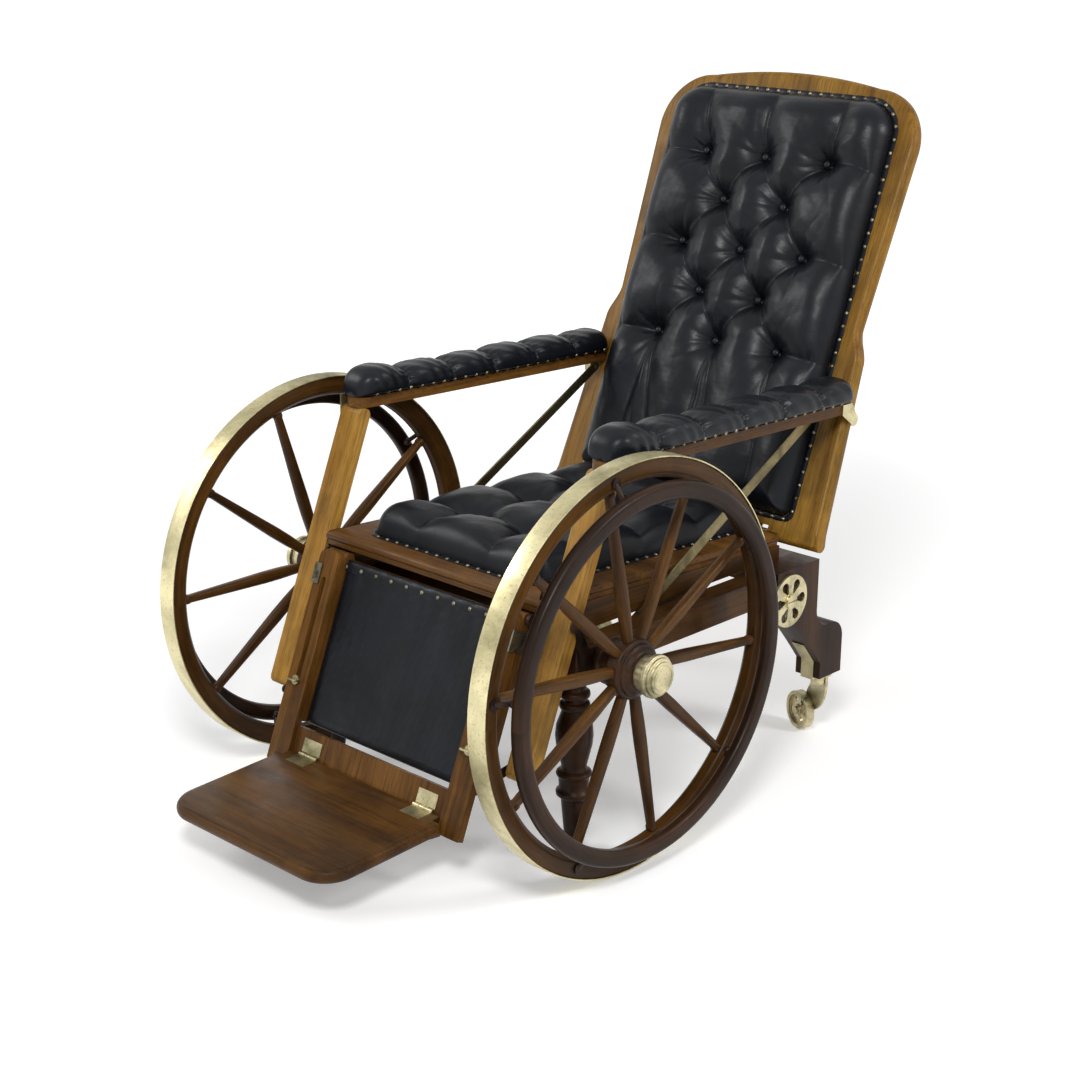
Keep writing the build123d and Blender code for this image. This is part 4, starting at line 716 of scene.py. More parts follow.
def make_rims(side):
    felloe_in, felloe_out = span_x(side + "_felloe")
    felloe_radius = outer_radius(side + "_felloe")
    tyre = square_section(*span_x(side + "_tyre"), felloe_radius, outer_radius(side + "_tyre"))
    turned(side, "tyre", rounded(tyre, TYRE_EDGE, True), "tyre_brass", "brass", True)
    inner = felloe_radius - FELLOE_DEPTH
    chamfer = FELLOE_CHAMFER
    felloe = [
        (felloe_in, felloe_radius),
        (felloe_in, inner + chamfer),
        (felloe_in + chamfer, inner),
        (felloe_out - chamfer, inner),
        (felloe_out, inner + chamfer),
        (felloe_out, felloe_radius),
    ]
    turned(side, "felloe", rounded(felloe, chamfer / 3, True), side + "_felloe", "mahogany", True)
    radius = outer_radius(side + "_handrim")
    handrim = square_section(*span_x(side + "_handrim"), radius - HANDRIM_DEPTH, radius)
    turned(side, "handrim", rounded(handrim, HANDRIM_ROUND, True, 6), side + "_rim", "mahogany", True)


def make_nave(side):
    start, end = span_x(side + "_nave")
    belly = outer_radius(side + "_nave")
    length = end - start
    shares = [
        (0.0, 0.40), (0.0, 0.62), (0.10, 0.66), (0.13, 0.76), (0.19, 0.76), (0.22, 0.68),
        (0.30, 0.80), (0.45, 0.83), (0.49, 0.93), (0.54, 1.0), (0.77, 1.0), (0.81, 0.95),
        (0.82, 0.87), (0.88, 0.87), (0.90, 0.80), (0.98, 0.70), (1.0, 0.64), (1.0, 0.40),
    ]
    profile = [(start + length * along, belly * radius) for along, radius in shares]
    turned(side, "nave", rounded(profile, NAVE_EDGE), "dark_across", "dark_mahogany")


def make_hub_cap(side):
    start, end = span_x(side + "_hub_cap")
    flange = outer_radius(side + "_hub_cap")
    length = end - start
    stem = flange * 0.82
    face = flange * 0.74
    groove = HUB_FACE_GROOVE
    dip = length * 0.03
    profile = [
        (start, stem * 0.5),
        (start, stem),
        (start + length * 0.46, stem),
        (start + length * 0.50, flange),
        (start + length * 0.70, flange),
        (start + length * 0.73, flange * 0.89),
        (start + length * 0.86, flange * 0.89),
        (start + length * 0.88, face),
        (end, face),
        (end, groove),
        (end - dip, groove),
        (end - dip, groove * 0.92),
        (end, groove * 0.92),
        (end - dip, 0.0005),
    ]
    turned(side, "hub_cap", rounded(profile, HUB_EDGE), "bright_brass", "brass")


def spoke_sections(inner, outer):
    """(distance from the axle, half-width, half-depth) along one spoke."""
    length = outer - inner
    shares = [
        (0.00, 0.0078, 0.0080), (0.06, 0.0085, 0.0084), (0.20, 0.0098, 0.0092), (0.33, 0.0100, 0.0094),
        (0.50, 0.0091, 0.0088), (0.70, 0.0080, 0.0080), (0.88, 0.0070, 0.0074), (0.955, 0.0066, 0.0070),
        (0.965, 0.0078, 0.0080), (0.985, 0.0078, 0.0080), (1.00, 0.0068, 0.0070),
    ]
    return [(inner + length * along, width, depth) for along, width, depth in shares]


def make_spokes(side):
    axes = wheel_axes(side)
    tyre_in, tyre_out = span_x(side + "_tyre")
    middle = (tyre_in + tyre_out) / 2
    inner = NAVE_RADIUS * 0.94
    outer = outer_radius(side + "_felloe") - FELLOE_DEPTH + SPOKE_SEATING
    sections = spoke_sections(inner, outer)
    parts = []
    for index in range(SPOKE_COUNT):
        angle = math.radians(SPOKE_PHASES[side] + 360 * index / SPOKE_COUNT)
        outward = Vector((0, math.cos(angle), math.sin(angle)))
        sideways = Vector((0, -math.sin(angle), math.cos(angle)))
        vertices = []
        for distance, width, depth in sections:
            for step in range(SPOKE_SIDES):
                turn = 2 * math.pi * step / SPOKE_SIDES
                squareness = 1 / (abs(math.cos(turn)) ** 3 + abs(math.sin(turn)) ** 3) ** (1 / 3)
                across = sideways * (width * math.cos(turn) * squareness)
                through = Vector((depth * math.sin(turn) * squareness, 0, 0))
                vertices.append(outward * distance + across + through + Vector((middle, 0, 0)))
        parts.append((placed(vertices, axes), ring_faces(len(sections), SPOKE_SIDES)))
    name = side + "_spokes"
    body = side + "_wheel_body"
    mesh = join_meshes(parts)
    add_piece(name + "_shaped", mesh, side + "_spoke", PLAIN_ANGLE, "mahogany", body, name)


def make_wheels():
    for side in SIDES:
        make_rims(side)
        make_nave(side)
        make_hub_cap(side)
        make_spokes(side)


# Turned front legs


def make_front_legs():
    low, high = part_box("front_legs")
    centre_x = high[0] - LEG_INSET
    centre_y = (low[1] + high[1]) / 2
    height = high[2] - low[2]
    shares = [
        (0.0, 0.0002), (0.0, 0.008), (0.003, 0.0100), (0.10, 0.0145), (0.25, 0.0195), (0.285, 0.0205),
        (0.292, 0.0235), (0.300, 0.0280), (0.318, 0.0285), (0.330, 0.0240), (0.345, 0.0235),
        (0.385, 0.0245), (0.393, 0.0275), (0.402, 0.0285), (0.412, 0.0270), (0.418, 0.0205),
        (0.44, 0.0200), (0.48, 0.0235), (0.54, 0.0285), (0.585, 0.0300), (0.63, 0.0285),
        (0.68, 0.0225), (0.705, 0.0195), (0.712, 0.0235), (0.724, 0.0245), (0.737, 0.0235),
        (0.742, 0.0170), (0.760, 0.0168), (0.765, 0.0235), (0.778, 0.0245), (0.790, 0.0235),
        (0.796, 0.0175), (0.842, 0.0185),
    ]
    profile = rounded([(height * along, radius) for along, radius in shares], LEG_EDGE, steps=2)
    block_bottom = height * LEG_BLOCK_START
    half = LEG_BLOCK_HALF
    edge = LEG_BLOCK_EDGE
    square = rounded([(-half, -half), (half, -half), (half, half), (-half, half)], edge, True)
    rings = [(edge, block_bottom), (0, block_bottom + edge), (0, height - edge / 2), (edge / 2, height)]
    parts = []
    for sign in SIDES.values():
        place = shifted(sign * centre_x, centre_y, low[2])
        parts.append(lathe(profile, place @ UPRIGHT, 48))
        parts.append(moulded_slab(square, rings, place))
    mesh = join_meshes(parts)
    add_piece("front_legs_turned", mesh, "dark_upright", LEG_ANGLE, "mahogany", "chassis", "front_legs")


# Back frame


def back_outline():
    """The outline of the back, anticlockwise, with the share of the edge moulding at each point."""
    shoulder = BACK_SHOULDER_HALF_WIDTH
    round_top = BACK_HEIGHT - BACK_CREST_RISE
    turn_centre = (shoulder - BACK_SHOULDER_RADIUS, round_top - BACK_SHOULDER_RADIUS)
    hip_share = 0.02 / BACK_HIP[1]
    low = BACK_BOTTOM_HALF_WIDTH + (BACK_HIP[0] - BACK_BOTTOM_HALF_WIDTH) * hip_share
    right = [(BACK_BOTTOM_HALF_WIDTH, 0.0), (low, 0.02)]
    for step in range(13):
        share = step / 12
        ease = share * share * (3 - 2 * share)
        x = BACK_HIP[0] + (BACK_WAIST[0] - BACK_HIP[0]) * ease
        right.append((x, BACK_HIP[1] + (BACK_WAIST[1] - BACK_HIP[1]) * share))
    right.extend(arc(turn_centre, BACK_SHOULDER_RADIUS, 0, 90, 18))
    flat_half = shoulder - BACK_SHOULDER_RADIUS
    crest = []
    for step in range(1, 20):
        x = flat_half * (1 - 2 * step / 20)
        crest.append((x, round_top + BACK_CREST_RISE * (1 - (x / flat_half) ** 2)))
    left = [(-x, y) for x, y in reversed(right)]
    outer = right + crest + left
    shares = [0.0] + [1.0] * (len(outer) - 2) + [0.0]
    bottom = []
    for centre_x in (-HINGE_CENTRE_X, 0.0, HINGE_CENTRE_X):
        start = centre_x - HINGE_POCKET_HALF
        end = centre_x + HINGE_POCKET_HALF
        bottom += [(start, 0.0), (start, HINGE_POCKET_RISE), (end, HINGE_POCKET_RISE), (end, 0.0)]
    return outer + bottom, shares + [0.0] * len(bottom)


def make_back_frame():
    outline, shares = back_outline()
    front = BACK_HALF
    round_edge = BACK_EDGE_ROUND
    rear = BACK_REAR_ROUND
    rings = [(rear, -front), (rear * 0.3, -front + rear * 0.3), (0.0, -front + rear), (0.0, -front / 4)]
    for step in range(7):
        angle = math.pi / 2 * step / 6
        rings.append((round_edge * (1 - math.cos(angle)), front - round_edge * (1 - math.sin(angle))))
    mesh = moulded_slab(outline, rings, leaned("recline"), shares, BACK_HALF)
    add_piece("back_frame_moulded", mesh, "amber_leaning", BACK_ANGLE, "mahogany", "back", "back_frame")


# Tufted leather


def round_oblong(points, half, corner, foot_corner):
    """Moves points of a square grid onto a rounded oblong, and gives their depth inside its edge."""
    corner = np.where(points[:, 1:] < 0, foot_corner, corner)
    square = np.max(np.abs(points), axis=1, keepdims=True)
    direction = points / np.maximum(square, 1e-9) * half
    over = np.maximum(np.abs(direction) - (half - corner), 0)
    reach = np.hypot(over[:, :1], over[:, 1:])
    pull = np.where(reach > corner, corner / np.maximum(reach, 1e-9), 1.0)
    edge = np.sign(direction) * (np.minimum(np.abs(direction), half - corner) + over * pull)
    blend = square ** 5
    flat = points * half * (1 - blend) + edge * square * blend
    inner = np.maximum(np.abs(flat) - (half - corner), 0)
    rounded_depth = corner[:, 0] - np.hypot(inner[:, 0], inner[:, 1])
    straight_depth = np.min(half - np.abs(flat), axis=1)
    depth = np.where(np.all(inner > 0, axis=1), rounded_depth, straight_depth)
    return flat, np.maximum(depth, 0)


def segment_distance(points, start, end, sway):
    """Distance from each point to a slightly swaying pleat, and how far along the pleat it lies."""
    start = np.array(start)
    end = np.array(end)
    run = end - start
    length = np.linalg.norm(run)
    normal = np.array([-run[1], run[0]]) / length
    share = np.clip((points - start) @ run / length ** 2, 0, 1)
    curve = start + share[:, None] * run + normal * (np.sin(share * math.pi) * sway)[:, None]
    return np.linalg.norm(points - curve, axis=1), share


def smooth_noise(points, scale, seed):
    """A soft random field made of a few sine waves."""
    waves = np.random.default_rng(seed)
    field = np.zeros(len(points))
    for _ in range(6):
        angle = waves.uniform(0, 2 * math.pi)
        frequency = 2 * math.pi / scale * waves.uniform(0.6, 1.7)
        direction = np.array([math.cos(angle), math.sin(angle)])
        field += np.sin(points @ direction * frequency + waves.uniform(0, 2 * math.pi))
    return field / 6


def tufted(half_width, length, corners, crown, roll, buttons, pleats, place, density, seed):
    """A stuffed and buttoned leather pad on a flat foot, as vertices and faces.

    The buttons and pleats are places on the pad, measured from its middle. The corners are the
    radii at its top and at its foot.
    """
    half = np.array([half_width, length / 2])
    counts = [int(size / density) for size in (2 * half_width, length)]
    lines = [np.linspace(-1, 1, count) for count in counts]
    eased = [np.sign(line) * (1 - (1 - np.abs(line)) ** 1.45) for line in lines]
    square = np.stack([values.ravel() for values in np.meshgrid(*eased)], axis=1)
    flat, depth = round_oblong(square, half, *corners)
    spread = np.clip(1 - depth / roll, 0, 1)
    rise = np.sqrt(np.maximum(1 - spread ** 2.2, 0))
    nearest_pleat = np.full(len(flat), 1.0)
    crease = np.zeros(len(flat))
    shaker = np.random.default_rng(seed)
    for start, end in pleats:
        distance, share = segment_distance(flat, start, end, shaker.uniform(-0.006, 0.006))
        nearest_pleat = np.minimum(nearest_pleat, distance)
        fade = np.clip(1.4 - share * 0.9, 0.3, 1)
        crease = np.maximum(crease, np.exp(-(distance / CREASE_WIDTH) ** 2) * fade)
    puff = 1 - np.exp(-(nearest_pleat / PLEAT_WIDTH) ** 1.25)
    well = np.zeros(len(flat))
    folds = np.zeros(len(flat))
    for button in buttons:
        offset = flat - np.array(button)
        distance = np.linalg.norm(offset, axis=1)
        turn = np.arctan2(offset[:, 1], offset[:, 0])
        well = np.maximum(well, np.exp(-(distance / TUFT_REACH) ** 1.25))
        count = shaker.integers(9, 13)
        phase = shaker.uniform(0, 2 * math.pi)
        wobble = 0.7 * np.sin(turn * 3 + phase * 2) + distance * 18
        ridges = 1 - np.abs(np.sin(turn * count / 2 + phase + wobble)) ** 0.55
        reach = FOLD_REACH * (1 + 0.45 * np.sin(turn * 5 + phase))
        folds = np.maximum(folds, ridges * np.exp(-np.maximum(distance - 0.010, 0) / reach))
    height = crown * (1 - CAMBER * np.sum((flat / half) ** 2, axis=1) / 2)
    height = height - PLEAT_DEPTH * (1 - puff) * np.clip(depth / 0.02, 0.35, 1)
    height = height - TUFT_DEPTH * well - FOLD_DEPTH * folds - CREASE_DEPTH * crease
    height = height + 0.0014 * smooth_noise(flat, 0.06, seed)
    height = (height + 0.0002 * smooth_noise(flat, 0.016, seed + 1)) * rise
    gather = 0.0016 * (1 - puff) * np.exp(-depth / 0.02)
    inward = flat * (1 - gather / np.maximum(np.linalg.norm(flat, axis=1), 0.01))[:, None]
    top = [(x, y, z) for (x, y), z in zip(inward, height)]
    faces = ring_faces(counts[1], counts[0], round_section=False)
    faces.append(tuple(reversed(grid_rim(*counts))))
    return placed(top, place), faces


def back_buttons():
    places = []
    for row in range(5):
        y = BUTTON_TOP - BUTTON_ROW_PITCH * row
        columns = (-2, 0, 2) if row % 2 == 0 else (-1, 1)
        places += [(column * BUTTON_COLUMN_PITCH, y) for column in columns]
    return places


def back_pleats(places):
    """Pleats to the buttons of the row below and out to the edges."""
    last_y = BUTTON_TOP - BUTTON_ROW_PITCH * 4
    pleats = []
    for x, y in places:
        for next_x, next_y in places:
            below = abs(y - next_y - BUTTON_ROW_PITCH) < BUTTON_ROW_PITCH / 4
            if below and abs(x - next_x) < BUTTON_COLUMN_PITCH * 1.5:
                pleats.append(((x, y), (next_x, next_y)))
        if abs(y - BUTTON_TOP) < 0.01:
            pleats.append(((x, y), (x * 1.12, PAD_TOP)))
        if abs(y - last_y) < 0.01:
            pleats.append(((x, y), (x * 1.15, PAD_BOTTOM)))
            pleats.append(((x, y), (x * 0.9 + 0.03, PAD_BOTTOM + 0.09)))
        if abs(x) > BUTTON_COLUMN_PITCH * 1.5:
            pleats.append(((x, y), (math.copysign(PAD_HALF_WIDTH, x), y - 0.006)))
    return pleats


def button_mesh(matrix):
    """A domed button, turned round the Z axis of the matrix."""
    profile = [
        (-0.004, 0.004), (-0.002, 0.0062), (0.0005, 0.0066),
        (0.0024, 0.0052), (0.0033, 0.0026), (0.0035, 0.0002),
    ]
    return lathe(profile, matrix @ UPRIGHT, 20)


def add_buttons(name, places, crown, base, body, *replaced):
    seat = crown - TUFT_DEPTH + BUTTON_SEATING
    mesh = join_meshes([button_mesh(base @ shifted(x, y, seat)) for x, y in places])
    add_piece(name, mesh, "leather", PLAIN_ANGLE, "leather", body, *replaced)


def make_back_upholstery():
    middle_y = (PAD_BOTTOM + PAD_TOP) / 2
    places = back_buttons()
    centred = [(x, y - middle_y) for x, y in places]
    pleats = [((sx, sy - middle_y), (ex, ey - middle_y)) for (sx, sy), (ex, ey) in back_pleats(places)]
    base = leaned("recline") @ shifted(0, middle_y, BACK_HALF)
    mesh = tufted(
        PAD_HALF_WIDTH, PAD_TOP - PAD_BOTTOM, (PAD_CORNER, PAD_FOOT_CORNER), PAD_CROWN, PAD_ROLL,
        centred, pleats, base, PAD_DENSITY, PAD_SEED,
    )
    pad = add_piece("back_upholstery", mesh, "leather", LEATHER_ANGLE, "leather", "back", "back_pad")
    add_buttons("back_buttons_domed", centred, PAD_CROWN, base, "back", "back_buttons")


# Gimp and nails


def oblong_path(half_width, low_y, high_y, corner, foot_corner, step):
    """Evenly spaced points round a rounded oblong."""
    points = []
    corners = [
        (half_width - foot_corner, low_y + foot_corner, foot_corner, -90),
        (half_width - corner, high_y - corner, corner, 0),
        (corner - half_width, high_y - corner, corner, 90),
        (foot_corner - half_width, low_y + foot_corner, foot_corner, 180),
    ]
    for x, y, radius, start in corners:
        points += arc((x, y), radius, start, start + 90, 12)
    points = np.array(points + points[:1])
    lengths = np.concatenate([[0], np.cumsum(np.linalg.norm(np.diff(points, axis=0), axis=1))])
    count = max(8, round(lengths[-1] / step))
    wanted = np.linspace(0, lengths[-1], count, endpoint=False)
    return np.stack([np.interp(wanted, lengths, points[:, axis]) for axis in (0, 1)], axis=1)


BAND_SECTION = ((-1, 0), (-1, 0.6), (-0.6, 1), (0.6, 1), (1, 0.6), (1, 0))


def band_mesh(path, closed, width, matrix, pitch, step):
    """A thin leather strip along a path, drawn down at each nail."""
    path = np.array(path)
    count = len(path)
    if closed:
        ahead = np.roll(path, -1, axis=0) - np.roll(path, 1, axis=0)
    else:
        ahead = np.gradient(path, axis=0)
    ahead = ahead / np.linalg.norm(ahead, axis=1, keepdims=True)
    out = np.stack([ahead[:, 1], -ahead[:, 0]], axis=1)
    run = np.arange(count) * step
    swell = np.abs(np.sin(math.pi * run / pitch))
    vertices = []
    for index in range(count):
        half = width / 2 * (0.86 + 0.14 * swell[index])
        top = GIMP_HEIGHT * (0.75 + 0.6 * swell[index])
        for across, up in BAND_SECTION:
            x, y = path[index] + out[index] * (half * across)
            vertices.append((x, y, top * up))
    faces = flipped(ring_faces(count, 6, closed))
    if not closed:
        faces.append(tuple(range(6)))
        faces.append(tuple(reversed(range((count - 1) * 6, count * 6))))
    return placed(vertices, matrix), faces


def nail_mesh(matrix):
    """A domed nail head, round the Z axis of the matrix."""
    profile = [(0.0, NAIL_RADIUS)]
    for step in range(1, 5):
        angle = math.pi / 2 * step / 4
        profile.append((NAIL_HEIGHT * math.sin(angle), max(NAIL_RADIUS * math.cos(angle), 0.0002)))
    return lathe(profile, matrix @ UPRIGHT, 14)


def nailed_band(name, path, closed, width, base, pitch, step, body, *replaced):
    """A gimp strip with its row of nails, each nail set on the strip."""
    mesh = band_mesh(path, closed, width, base, pitch, step)
    add_piece(name + "_gimp", mesh, "leather", GIMP_ANGLE, "leather", body)
    rise = GIMP_HEIGHT * 0.7
    spots = path[::round(pitch / step)]
    mesh = join_meshes([nail_mesh(base @ shifted(x, y, rise)) for x, y in spots])
    add_piece(name + "_nails", mesh, "nail", PLAIN_ANGLE, "brass", body, *replaced)


def make_back_gimp():
    base = leaned("recline") @ shifted(0, 0, BACK_HALF)
    step = NAIL_PITCH / 8
    margin = GIMP_WIDTH * 0.45
    path = oblong_path(
        PAD_HALF_WIDTH + margin, PAD_BOTTOM - margin, PAD_TOP + margin,
        PAD_CORNER + margin, PAD_FOOT_CORNER, step,
    )
    nailed_band("back", path, True, GIMP_WIDTH, base, NAIL_PITCH, step, "back", "back_studs")


# Seat


def seat_axes():
    """Axes on the seat board's top: X across, Y to the rear and Z up, from its front edge."""
    low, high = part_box("seat_board")
    slope = math.radians(SEAT_SLOPE)
    return sloped(low[1] + SEAT_THICKNESS * math.sin(slope), high[2], SEAT_SLOPE)


def make_seat_board():
    low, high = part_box("seat_board")
    slope = math.radians(SEAT_SLOPE)
    length = (high[1] - low[1] - SEAT_THICKNESS * math.sin(slope)) / math.cos(slope)
    half = SEAT_HALF_WIDTH
    outline = rounded([(-half, 0), (half, 0), (half, length), (-half, length)], SEAT_CORNER, True)
    rings = [(inset, -SEAT_THICKNESS * depth) for inset, depth in SEAT_MOULDING]
    mesh = moulded_slab(outline, rings, seat_axes())
    add_piece(
        "seat_board_moulded", mesh, "amber_across", BOARD_ANGLE, "mahogany", "chassis", "seat_board"
    )


def cushion_pattern():
    """Buttons and pleats of the seat cushion, from its middle."""
    buttons = [
        (side * CUSHION_TUFT_X, CUSHION_TUFT_PITCH * row)
        for row in (-1, 0, 1) for side in (-1, 1)
    ]
    half_width = CUSHION_HALF_WIDTH
    half_length = CUSHION_LENGTH / 2
    pleats = []
    for x, y in buttons:
        pleats.append(((x, y), (math.copysign(half_width, x), y - 0.012)))
        if x < 0:
            pleats.append(((x, y), (-x, y)))
        if y < CUSHION_TUFT_PITCH / 2:
            pleats.append(((x, y), (x, y + CUSHION_TUFT_PITCH)))
        if y < -CUSHION_TUFT_PITCH / 2:
            pleats.append(((x, y), (x * 1.3, -half_length)))
        if y > CUSHION_TUFT_PITCH / 2:
            pleats.append(((x, y), (x * 1.2, half_length)))
    return buttons, pleats


def make_cushion():
    buttons, pleats = cushion_pattern()
    base = seat_axes() @ shifted(0, CUSHION_FRONT + CUSHION_LENGTH / 2, 0)
    mesh = tufted(
        CUSHION_HALF_WIDTH, CUSHION_LENGTH, (CUSHION_CORNER, CUSHION_CORNER),
        CUSHION_CROWN, CUSHION_ROLL, buttons, pleats, base, CUSHION_DENSITY, CUSHION_SEED,
    )
    cushion = add_piece(
        "seat_upholstery", mesh, "leather", LEATHER_ANGLE, "leather", "chassis", "seat_cushion"
    )
    add_buttons("seat_buttons_domed", buttons, CUSHION_CROWN, base, "chassis")
    step = NAIL_PITCH / 8
    margin = GIMP_WIDTH * 0.4
    corner = CUSHION_CORNER + margin
    rear = CUSHION_FRONT + CUSHION_LENGTH + margin
    path = oblong_path(CUSHION_HALF_WIDTH + margin, CUSHION_FRONT - margin, rear, corner, corner, step)
    nailed_band("seat", path, True, GIMP_WIDTH, seat_axes(), NAIL_PITCH, step, "chassis", "seat_studs")


# Arm pads


def arm_section(turn):
    """A point of the arm pad's cross-section, as shares of its half-width and height."""
    x = math.cos(turn)
    z = math.sin(turn)
    across = math.copysign(abs(x) ** 0.72, x)
    up = 0.36 + 0.64 * abs(z) ** 0.80 if z >= 0 else 0.36 - 0.36 * abs(z) ** 0.55
    return across, up


def arm_axes(side):
    """Axes of a tilted arm from its rear pin: X across, Y to the rear and Z up."""
    return sloped(*joint_places[side + "_arm_level"][1:], ARM_TILT)


def make_arm_pad(side):
    front, rear = ARM_PAD_FRONT, ARM_PAD_REAR
    half_width = ARM_PAD_WIDTH / 2
    centre_x = SIDES[side] * (ARM_PAD_INNER_X + half_width)
    height = ARM_PAD_HEIGHT
    puff = (rear - front) / ARM_PUFFS
    rows, sides = ARM_PAD_ROWS, ARM_PAD_SIDES
    shaker = np.random.default_rng(ARM_PAD_SEEDS[side])
    leanings = shaker.uniform(-0.004, 0.004, ARM_PUFFS + 1)
    swells = shaker.uniform(0.97, 1.03, ARM_PUFFS + 1)
    vertices = []
    for row in range(rows + 1):
        share = row / rows
        eased = share + 0.006 * math.sin(4 * math.pi * share)
        y = front + (rear - front) * min(max(eased, 0), 1)
        end_round = min((y - front) / ARM_END_LENGTH, (rear - y) / ARM_END_LENGTH, 1.0)
        end_scale = math.sqrt(max(1 - (1 - end_round) ** 2.3, 0.0))
        bulge = ARM_BULGE * math.exp(-((y - front - ARM_BULGE_REACH) / ARM_BULGE_REACH) ** 2)
        for step in range(sides):
            turn = 2 * math.pi * step / sides
            across, up = arm_section(turn)
            seam_run = (y - front + leanings[3] * across) / puff
            index = min(int(seam_run), ARM_PUFFS - 1)
            seam = abs(seam_run - round(seam_run)) * puff
            dip = 0.0
            wrinkle = ARM_CREASE_DEPTH * math.sin(turn * 5 + y * 210 + 1.3 * math.sin(y * 57))
            if 0 < round(seam_run) < ARM_PUFFS:
                dip = ARM_SEAM_DEPTH * math.exp(-(seam / ARM_SEAM_WIDTH) ** 1.3)
                dip = dip + ARM_STITCH_DEPTH * math.exp(-(seam / ARM_STITCH_WIDTH) ** 2)
                dip = dip * (max(math.sin(turn), 0.0) ** 0.5 * 0.75 + 0.25)
                gather = math.sin(turn * 17 + index * 2.1) * math.exp(-seam / ARM_GATHER_REACH)
                wrinkle = wrinkle + ARM_GATHER_DEPTH * gather
            scale = swells[index] * 0.985
            x = across * (half_width * scale - dip * 0.55 + wrinkle + bulge / 3)
            z = up * (height * scale * 0.985 - dip * 1.15 + wrinkle + bulge)
            x = centre_x + x * (0.35 + 0.65 * end_scale)
            vertices.append((x, y, ARM_PAD_FOOT + z * (0.25 + 0.75 * end_scale)))
    faces = flipped(ring_faces(rows + 1, sides))
    faces.append(tuple(range(sides)))
    faces.append(tuple(reversed(range(rows * sides, (rows + 1) * sides))))
    mesh = (placed(vertices, arm_axes(side)), faces)
    name = side + "_arm_upholstery"
    body = side + "_arm_body"
    pad = add_piece(name, mesh, "leather", LEATHER_ANGLE, "leather", body, side + "_arm_pad")


def make_arm_nails(side):
    """Nails along both lower edges of an arm pad."""
    foot_z = ARM_PAD_FOOT + ARM_NAIL_RISE
    heads = []
    length = ARM_PAD_REAR - ARM_PAD_FRONT - ARM_NAIL_START - ARM_NAIL_END
    count = round(length / ARM_NAIL_PITCH)
    ends = sorted(SIDES[side] * x for x in (ARM_PAD_INNER_X, ARM_PAD_INNER_X + ARM_PAD_WIDTH))
    for index in range(count + 1):
        y = ARM_PAD_FRONT + ARM_NAIL_START + length * index / count
        for x, sign in zip(ends, (-1, 1)):
            spot = shifted(x - sign * ARM_NAIL_SINK, y, foot_z)
            heads.append(nail_mesh(arm_axes(side) @ spot @ rotation_about("Y", sign * 90)))
    add_piece(side + "_arm_nails", join_meshes(heads), "nail", PLAIN_ANGLE, "brass", side + "_arm_body")


# Leg rest panel


def make_leg_panel():
    count_x, count_y = LEG_PANEL_GRID
    x, y = np.meshgrid(
        np.linspace(-LEG_PANEL_HALF_WIDTH, LEG_PANEL_HALF_WIDTH, count_x),
        np.linspace(-LEG_PANEL_LENGTH, 0, count_y),
    )
    points = np.stack([x.ravel(), y.ravel()], axis=1)
    below_top = -points[:, 1]
    side_depth = LEG_PANEL_HALF_WIDTH - np.abs(points[:, 0])
    end_depth = np.minimum(below_top, LEG_PANEL_LENGTH - below_top)
    rise = 1.0
    for depth in (side_depth, end_depth):
        rise = rise * np.clip(depth / LEG_PANEL_EDGE, 0, 1) ** 0.5
    ripple = np.cos(points[:, 0] / LEG_NAIL_PITCH * 2 * math.pi) * np.exp(-below_top / LEG_RIPPLE_REACH)
    puff = LEG_PANEL_PUFF + LEG_RIPPLE_DEPTH * ripple
    drape = smooth_noise(points * np.array(LEG_DRAPE_SHARES), LEG_DRAPE_SCALE, LEG_DRAPE_SEED)
    creases = smooth_noise(points, LEG_CREASE_SCALE, LEG_CREASE_SEED)
    puff = puff + LEG_DRAPE_DEPTH * drape + LEG_CREASE_DEPTH * creases
    height = LEG_PANEL_FACE - LEG_PANEL_SINK + puff * rise
    top = [(px, py, pz) for (px, py), pz in zip(points, height)]
    foot = [(px, py, LEG_PANEL_FACE - LEG_PANEL_BACK) for px, py in points]
    quads = ring_faces(count_y, count_x, round_section=False)
    faces = quads + [tuple(reversed([index + len(top) for index in quad])) for quad in quads]
    rim = grid_rim(count_x, count_y)
    for index, corner in enumerate(rim):
        following = rim[(index + 1) % len(rim)]
        faces.append((following, corner, corner + len(top), following + len(top)))
    axes = leaned("leg_rest_lift")
    mesh = (placed(top + foot, axes), faces)
    panel = add_piece(
        "leg_panel_leather", mesh, "leather", PANEL_ANGLE, "leather", "leg_rest", "leg_panel"
    )
    step = LEG_NAIL_PITCH / 12
    reach = LEG_PANEL_HALF_WIDTH - LEG_STRIP_INSET
    path = [(-reach + step * index, -LEG_NAIL_MARGIN) for index in range(int(2 * reach / step) + 1)]
    face = axes @ shifted(0, 0, LEG_PANEL_FACE + LEG_STRIP_RISE)
    nailed_band("leg_panel", path, False, LEG_STRIP_WIDTH, face, LEG_NAIL_PITCH, step, "leg_rest")


# Footboard


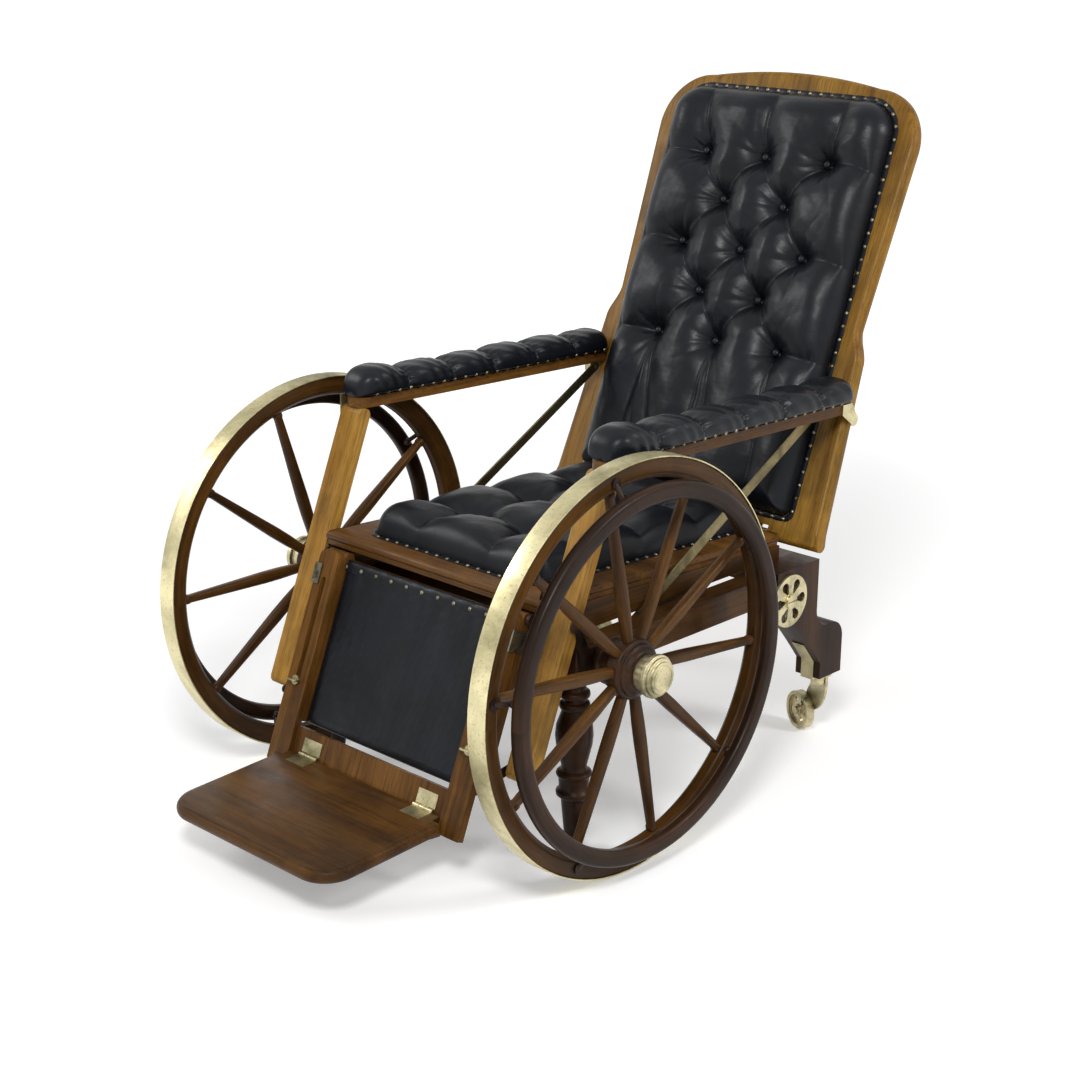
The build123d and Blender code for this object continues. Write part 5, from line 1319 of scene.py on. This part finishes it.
def make_footboard():
    start = FOOTBOARD_START
    neck = start + FOOTBOARD_TONGUE
    end = start + FOOTBOARD_LENGTH
    half = FOOTBOARD_HALF_WIDTH
    corner = FOOTBOARD_CORNER
    tongue = FOOTBOARD_TONGUE_HALF
    shoulder = -neck - FOOTBOARD_SHOULDER
    outline = [(-tongue, -start), (-tongue, -neck), (-half, -neck), (-half, shoulder)]
    outline += arc((corner - half, -end + corner), corner, -180, -90, 14)
    outline += arc((half - corner, -end + corner), corner, -90, 0, 14)
    outline += [(half, shoulder), (half, -neck), (tongue, -neck), (tongue, -start)]
    shares = [0, 0, 0] + [1] * (len(outline) - 6) + [0, 0, 0]
    rings = [(inset, -FOOTBOARD_THICKNESS * depth) for inset, depth in FOOTBOARD_MOULDING]
    axes = shifted(*joint_places["footboard_fold"]) @ rotation_about("X", FOOTBOARD_DIP)
    mesh = moulded_slab(outline, rings, axes, shares)
    add_piece("footboard_moulded", mesh, "red_across", BOARD_ANGLE, "mahogany", "foot", "footboard")


# Stage, lights and camera


def area_light(name, place, size, power):
    lamp = bpy.data.lights.new(name, "AREA")
    lamp.shape = "DISK"
    lamp.size = size
    lamp.energy = power
    holder = bpy.data.objects.new(name, lamp)
    bpy.context.scene.collection.objects.link(holder)
    holder.location = place
    direction = Vector(LAMP_TARGET) - Vector(place)
    holder.rotation_mode = "QUATERNION"
    holder.rotation_quaternion = direction.to_track_quat("-Z", "Y")


def seen_rays(tree):
    """One for the rays that show the backdrop itself, and zero for those that light the chair."""
    path = node(tree, "LightPath")
    seen = math_node(tree, "MAXIMUM", path.outputs["Is Camera Ray"], path.outputs["Is Glossy Ray"])
    return math_node(tree, "MAXIMUM", seen, path.outputs["Is Transmission Ray"])


def make_floor():
    half = FLOOR_HALF
    vertices = [(-half, -half, 0), (half, -half, 0), (half, half, 0), (-half, half, 0)]
    tree, shader = shader_tree("pale_floor")
    axes = split_axes(tree, object_place(tree))
    distance = root_of_squares(tree, axes[0], axes[1])
    reach = {0: distance, 1: FLOOR_NEAR, 2: FLOOR_FAR, 3: FLOOR_NEAR_GLOW, 4: FLOOR_FAR_GLOW}
    spread = node(tree, "MapRange", reach, interpolation_type="SMOOTHSTEP").outputs[0]
    wire(tree, shader, {
        "Base Color": FLOOR_COLOUR,
        "Roughness": 0.9,
        "Specular IOR Level": 0.0,
        "Emission Color": WHITE,
        "Emission Strength": math_node(tree, "MULTIPLY", seen_rays(tree), spread),
    })
    floor = new_piece("floor", (vertices, [(0, 1, 2, 3)]), materials["pale_floor"], PLAIN_ANGLE)
    floor.location.z = -FLOOR_DROP


def make_world():
    world = bpy.data.worlds.new("studio")
    bpy.context.scene.world = world
    world.use_nodes = True
    tree = world.node_tree
    strength = math_node(tree, "MULTIPLY", seen_rays(tree), 1 - AMBIENT)
    strength = math_node(tree, "ADD", strength, AMBIENT)
    wire(tree, tree.nodes["Background"], {"Color": WHITE, "Strength": strength})


def make_camera():
    turn = rotation_about("Z", CAMERA_AZIMUTH) @ rotation_about("X", 90 - CAMERA_ELEVATION)
    place = Vector(CAMERA_FROM_AXLE)
    place.y += joint_places["left_wheel_spin"][1]
    camera = bpy.data.cameras.new("camera")
    camera.lens = CAMERA_LENS
    camera.sensor_width = SENSOR_WIDTH
    holder = bpy.data.objects.new("camera", camera)
    bpy.context.scene.collection.objects.link(holder)
    holder.matrix_world = shifted(*place) @ turn @ rotation_about("Z", CAMERA_ROLL)
    bpy.context.scene.camera = holder


def make_studio():
    make_floor()
    make_world()
    for lamp in LAMPS:
        area_light(*lamp)
    make_camera()
    bpy.context.scene.view_settings.view_transform = "Standard"


keep_cad_pieces()
make_wheels()
make_front_legs()
make_back_frame()
make_back_upholstery()
make_back_gimp()
make_seat_board()
make_cushion()
for side in SIDES:
    make_arm_pad(side)
    make_arm_nails(side)
make_leg_panel()
make_footboard()
make_studio()
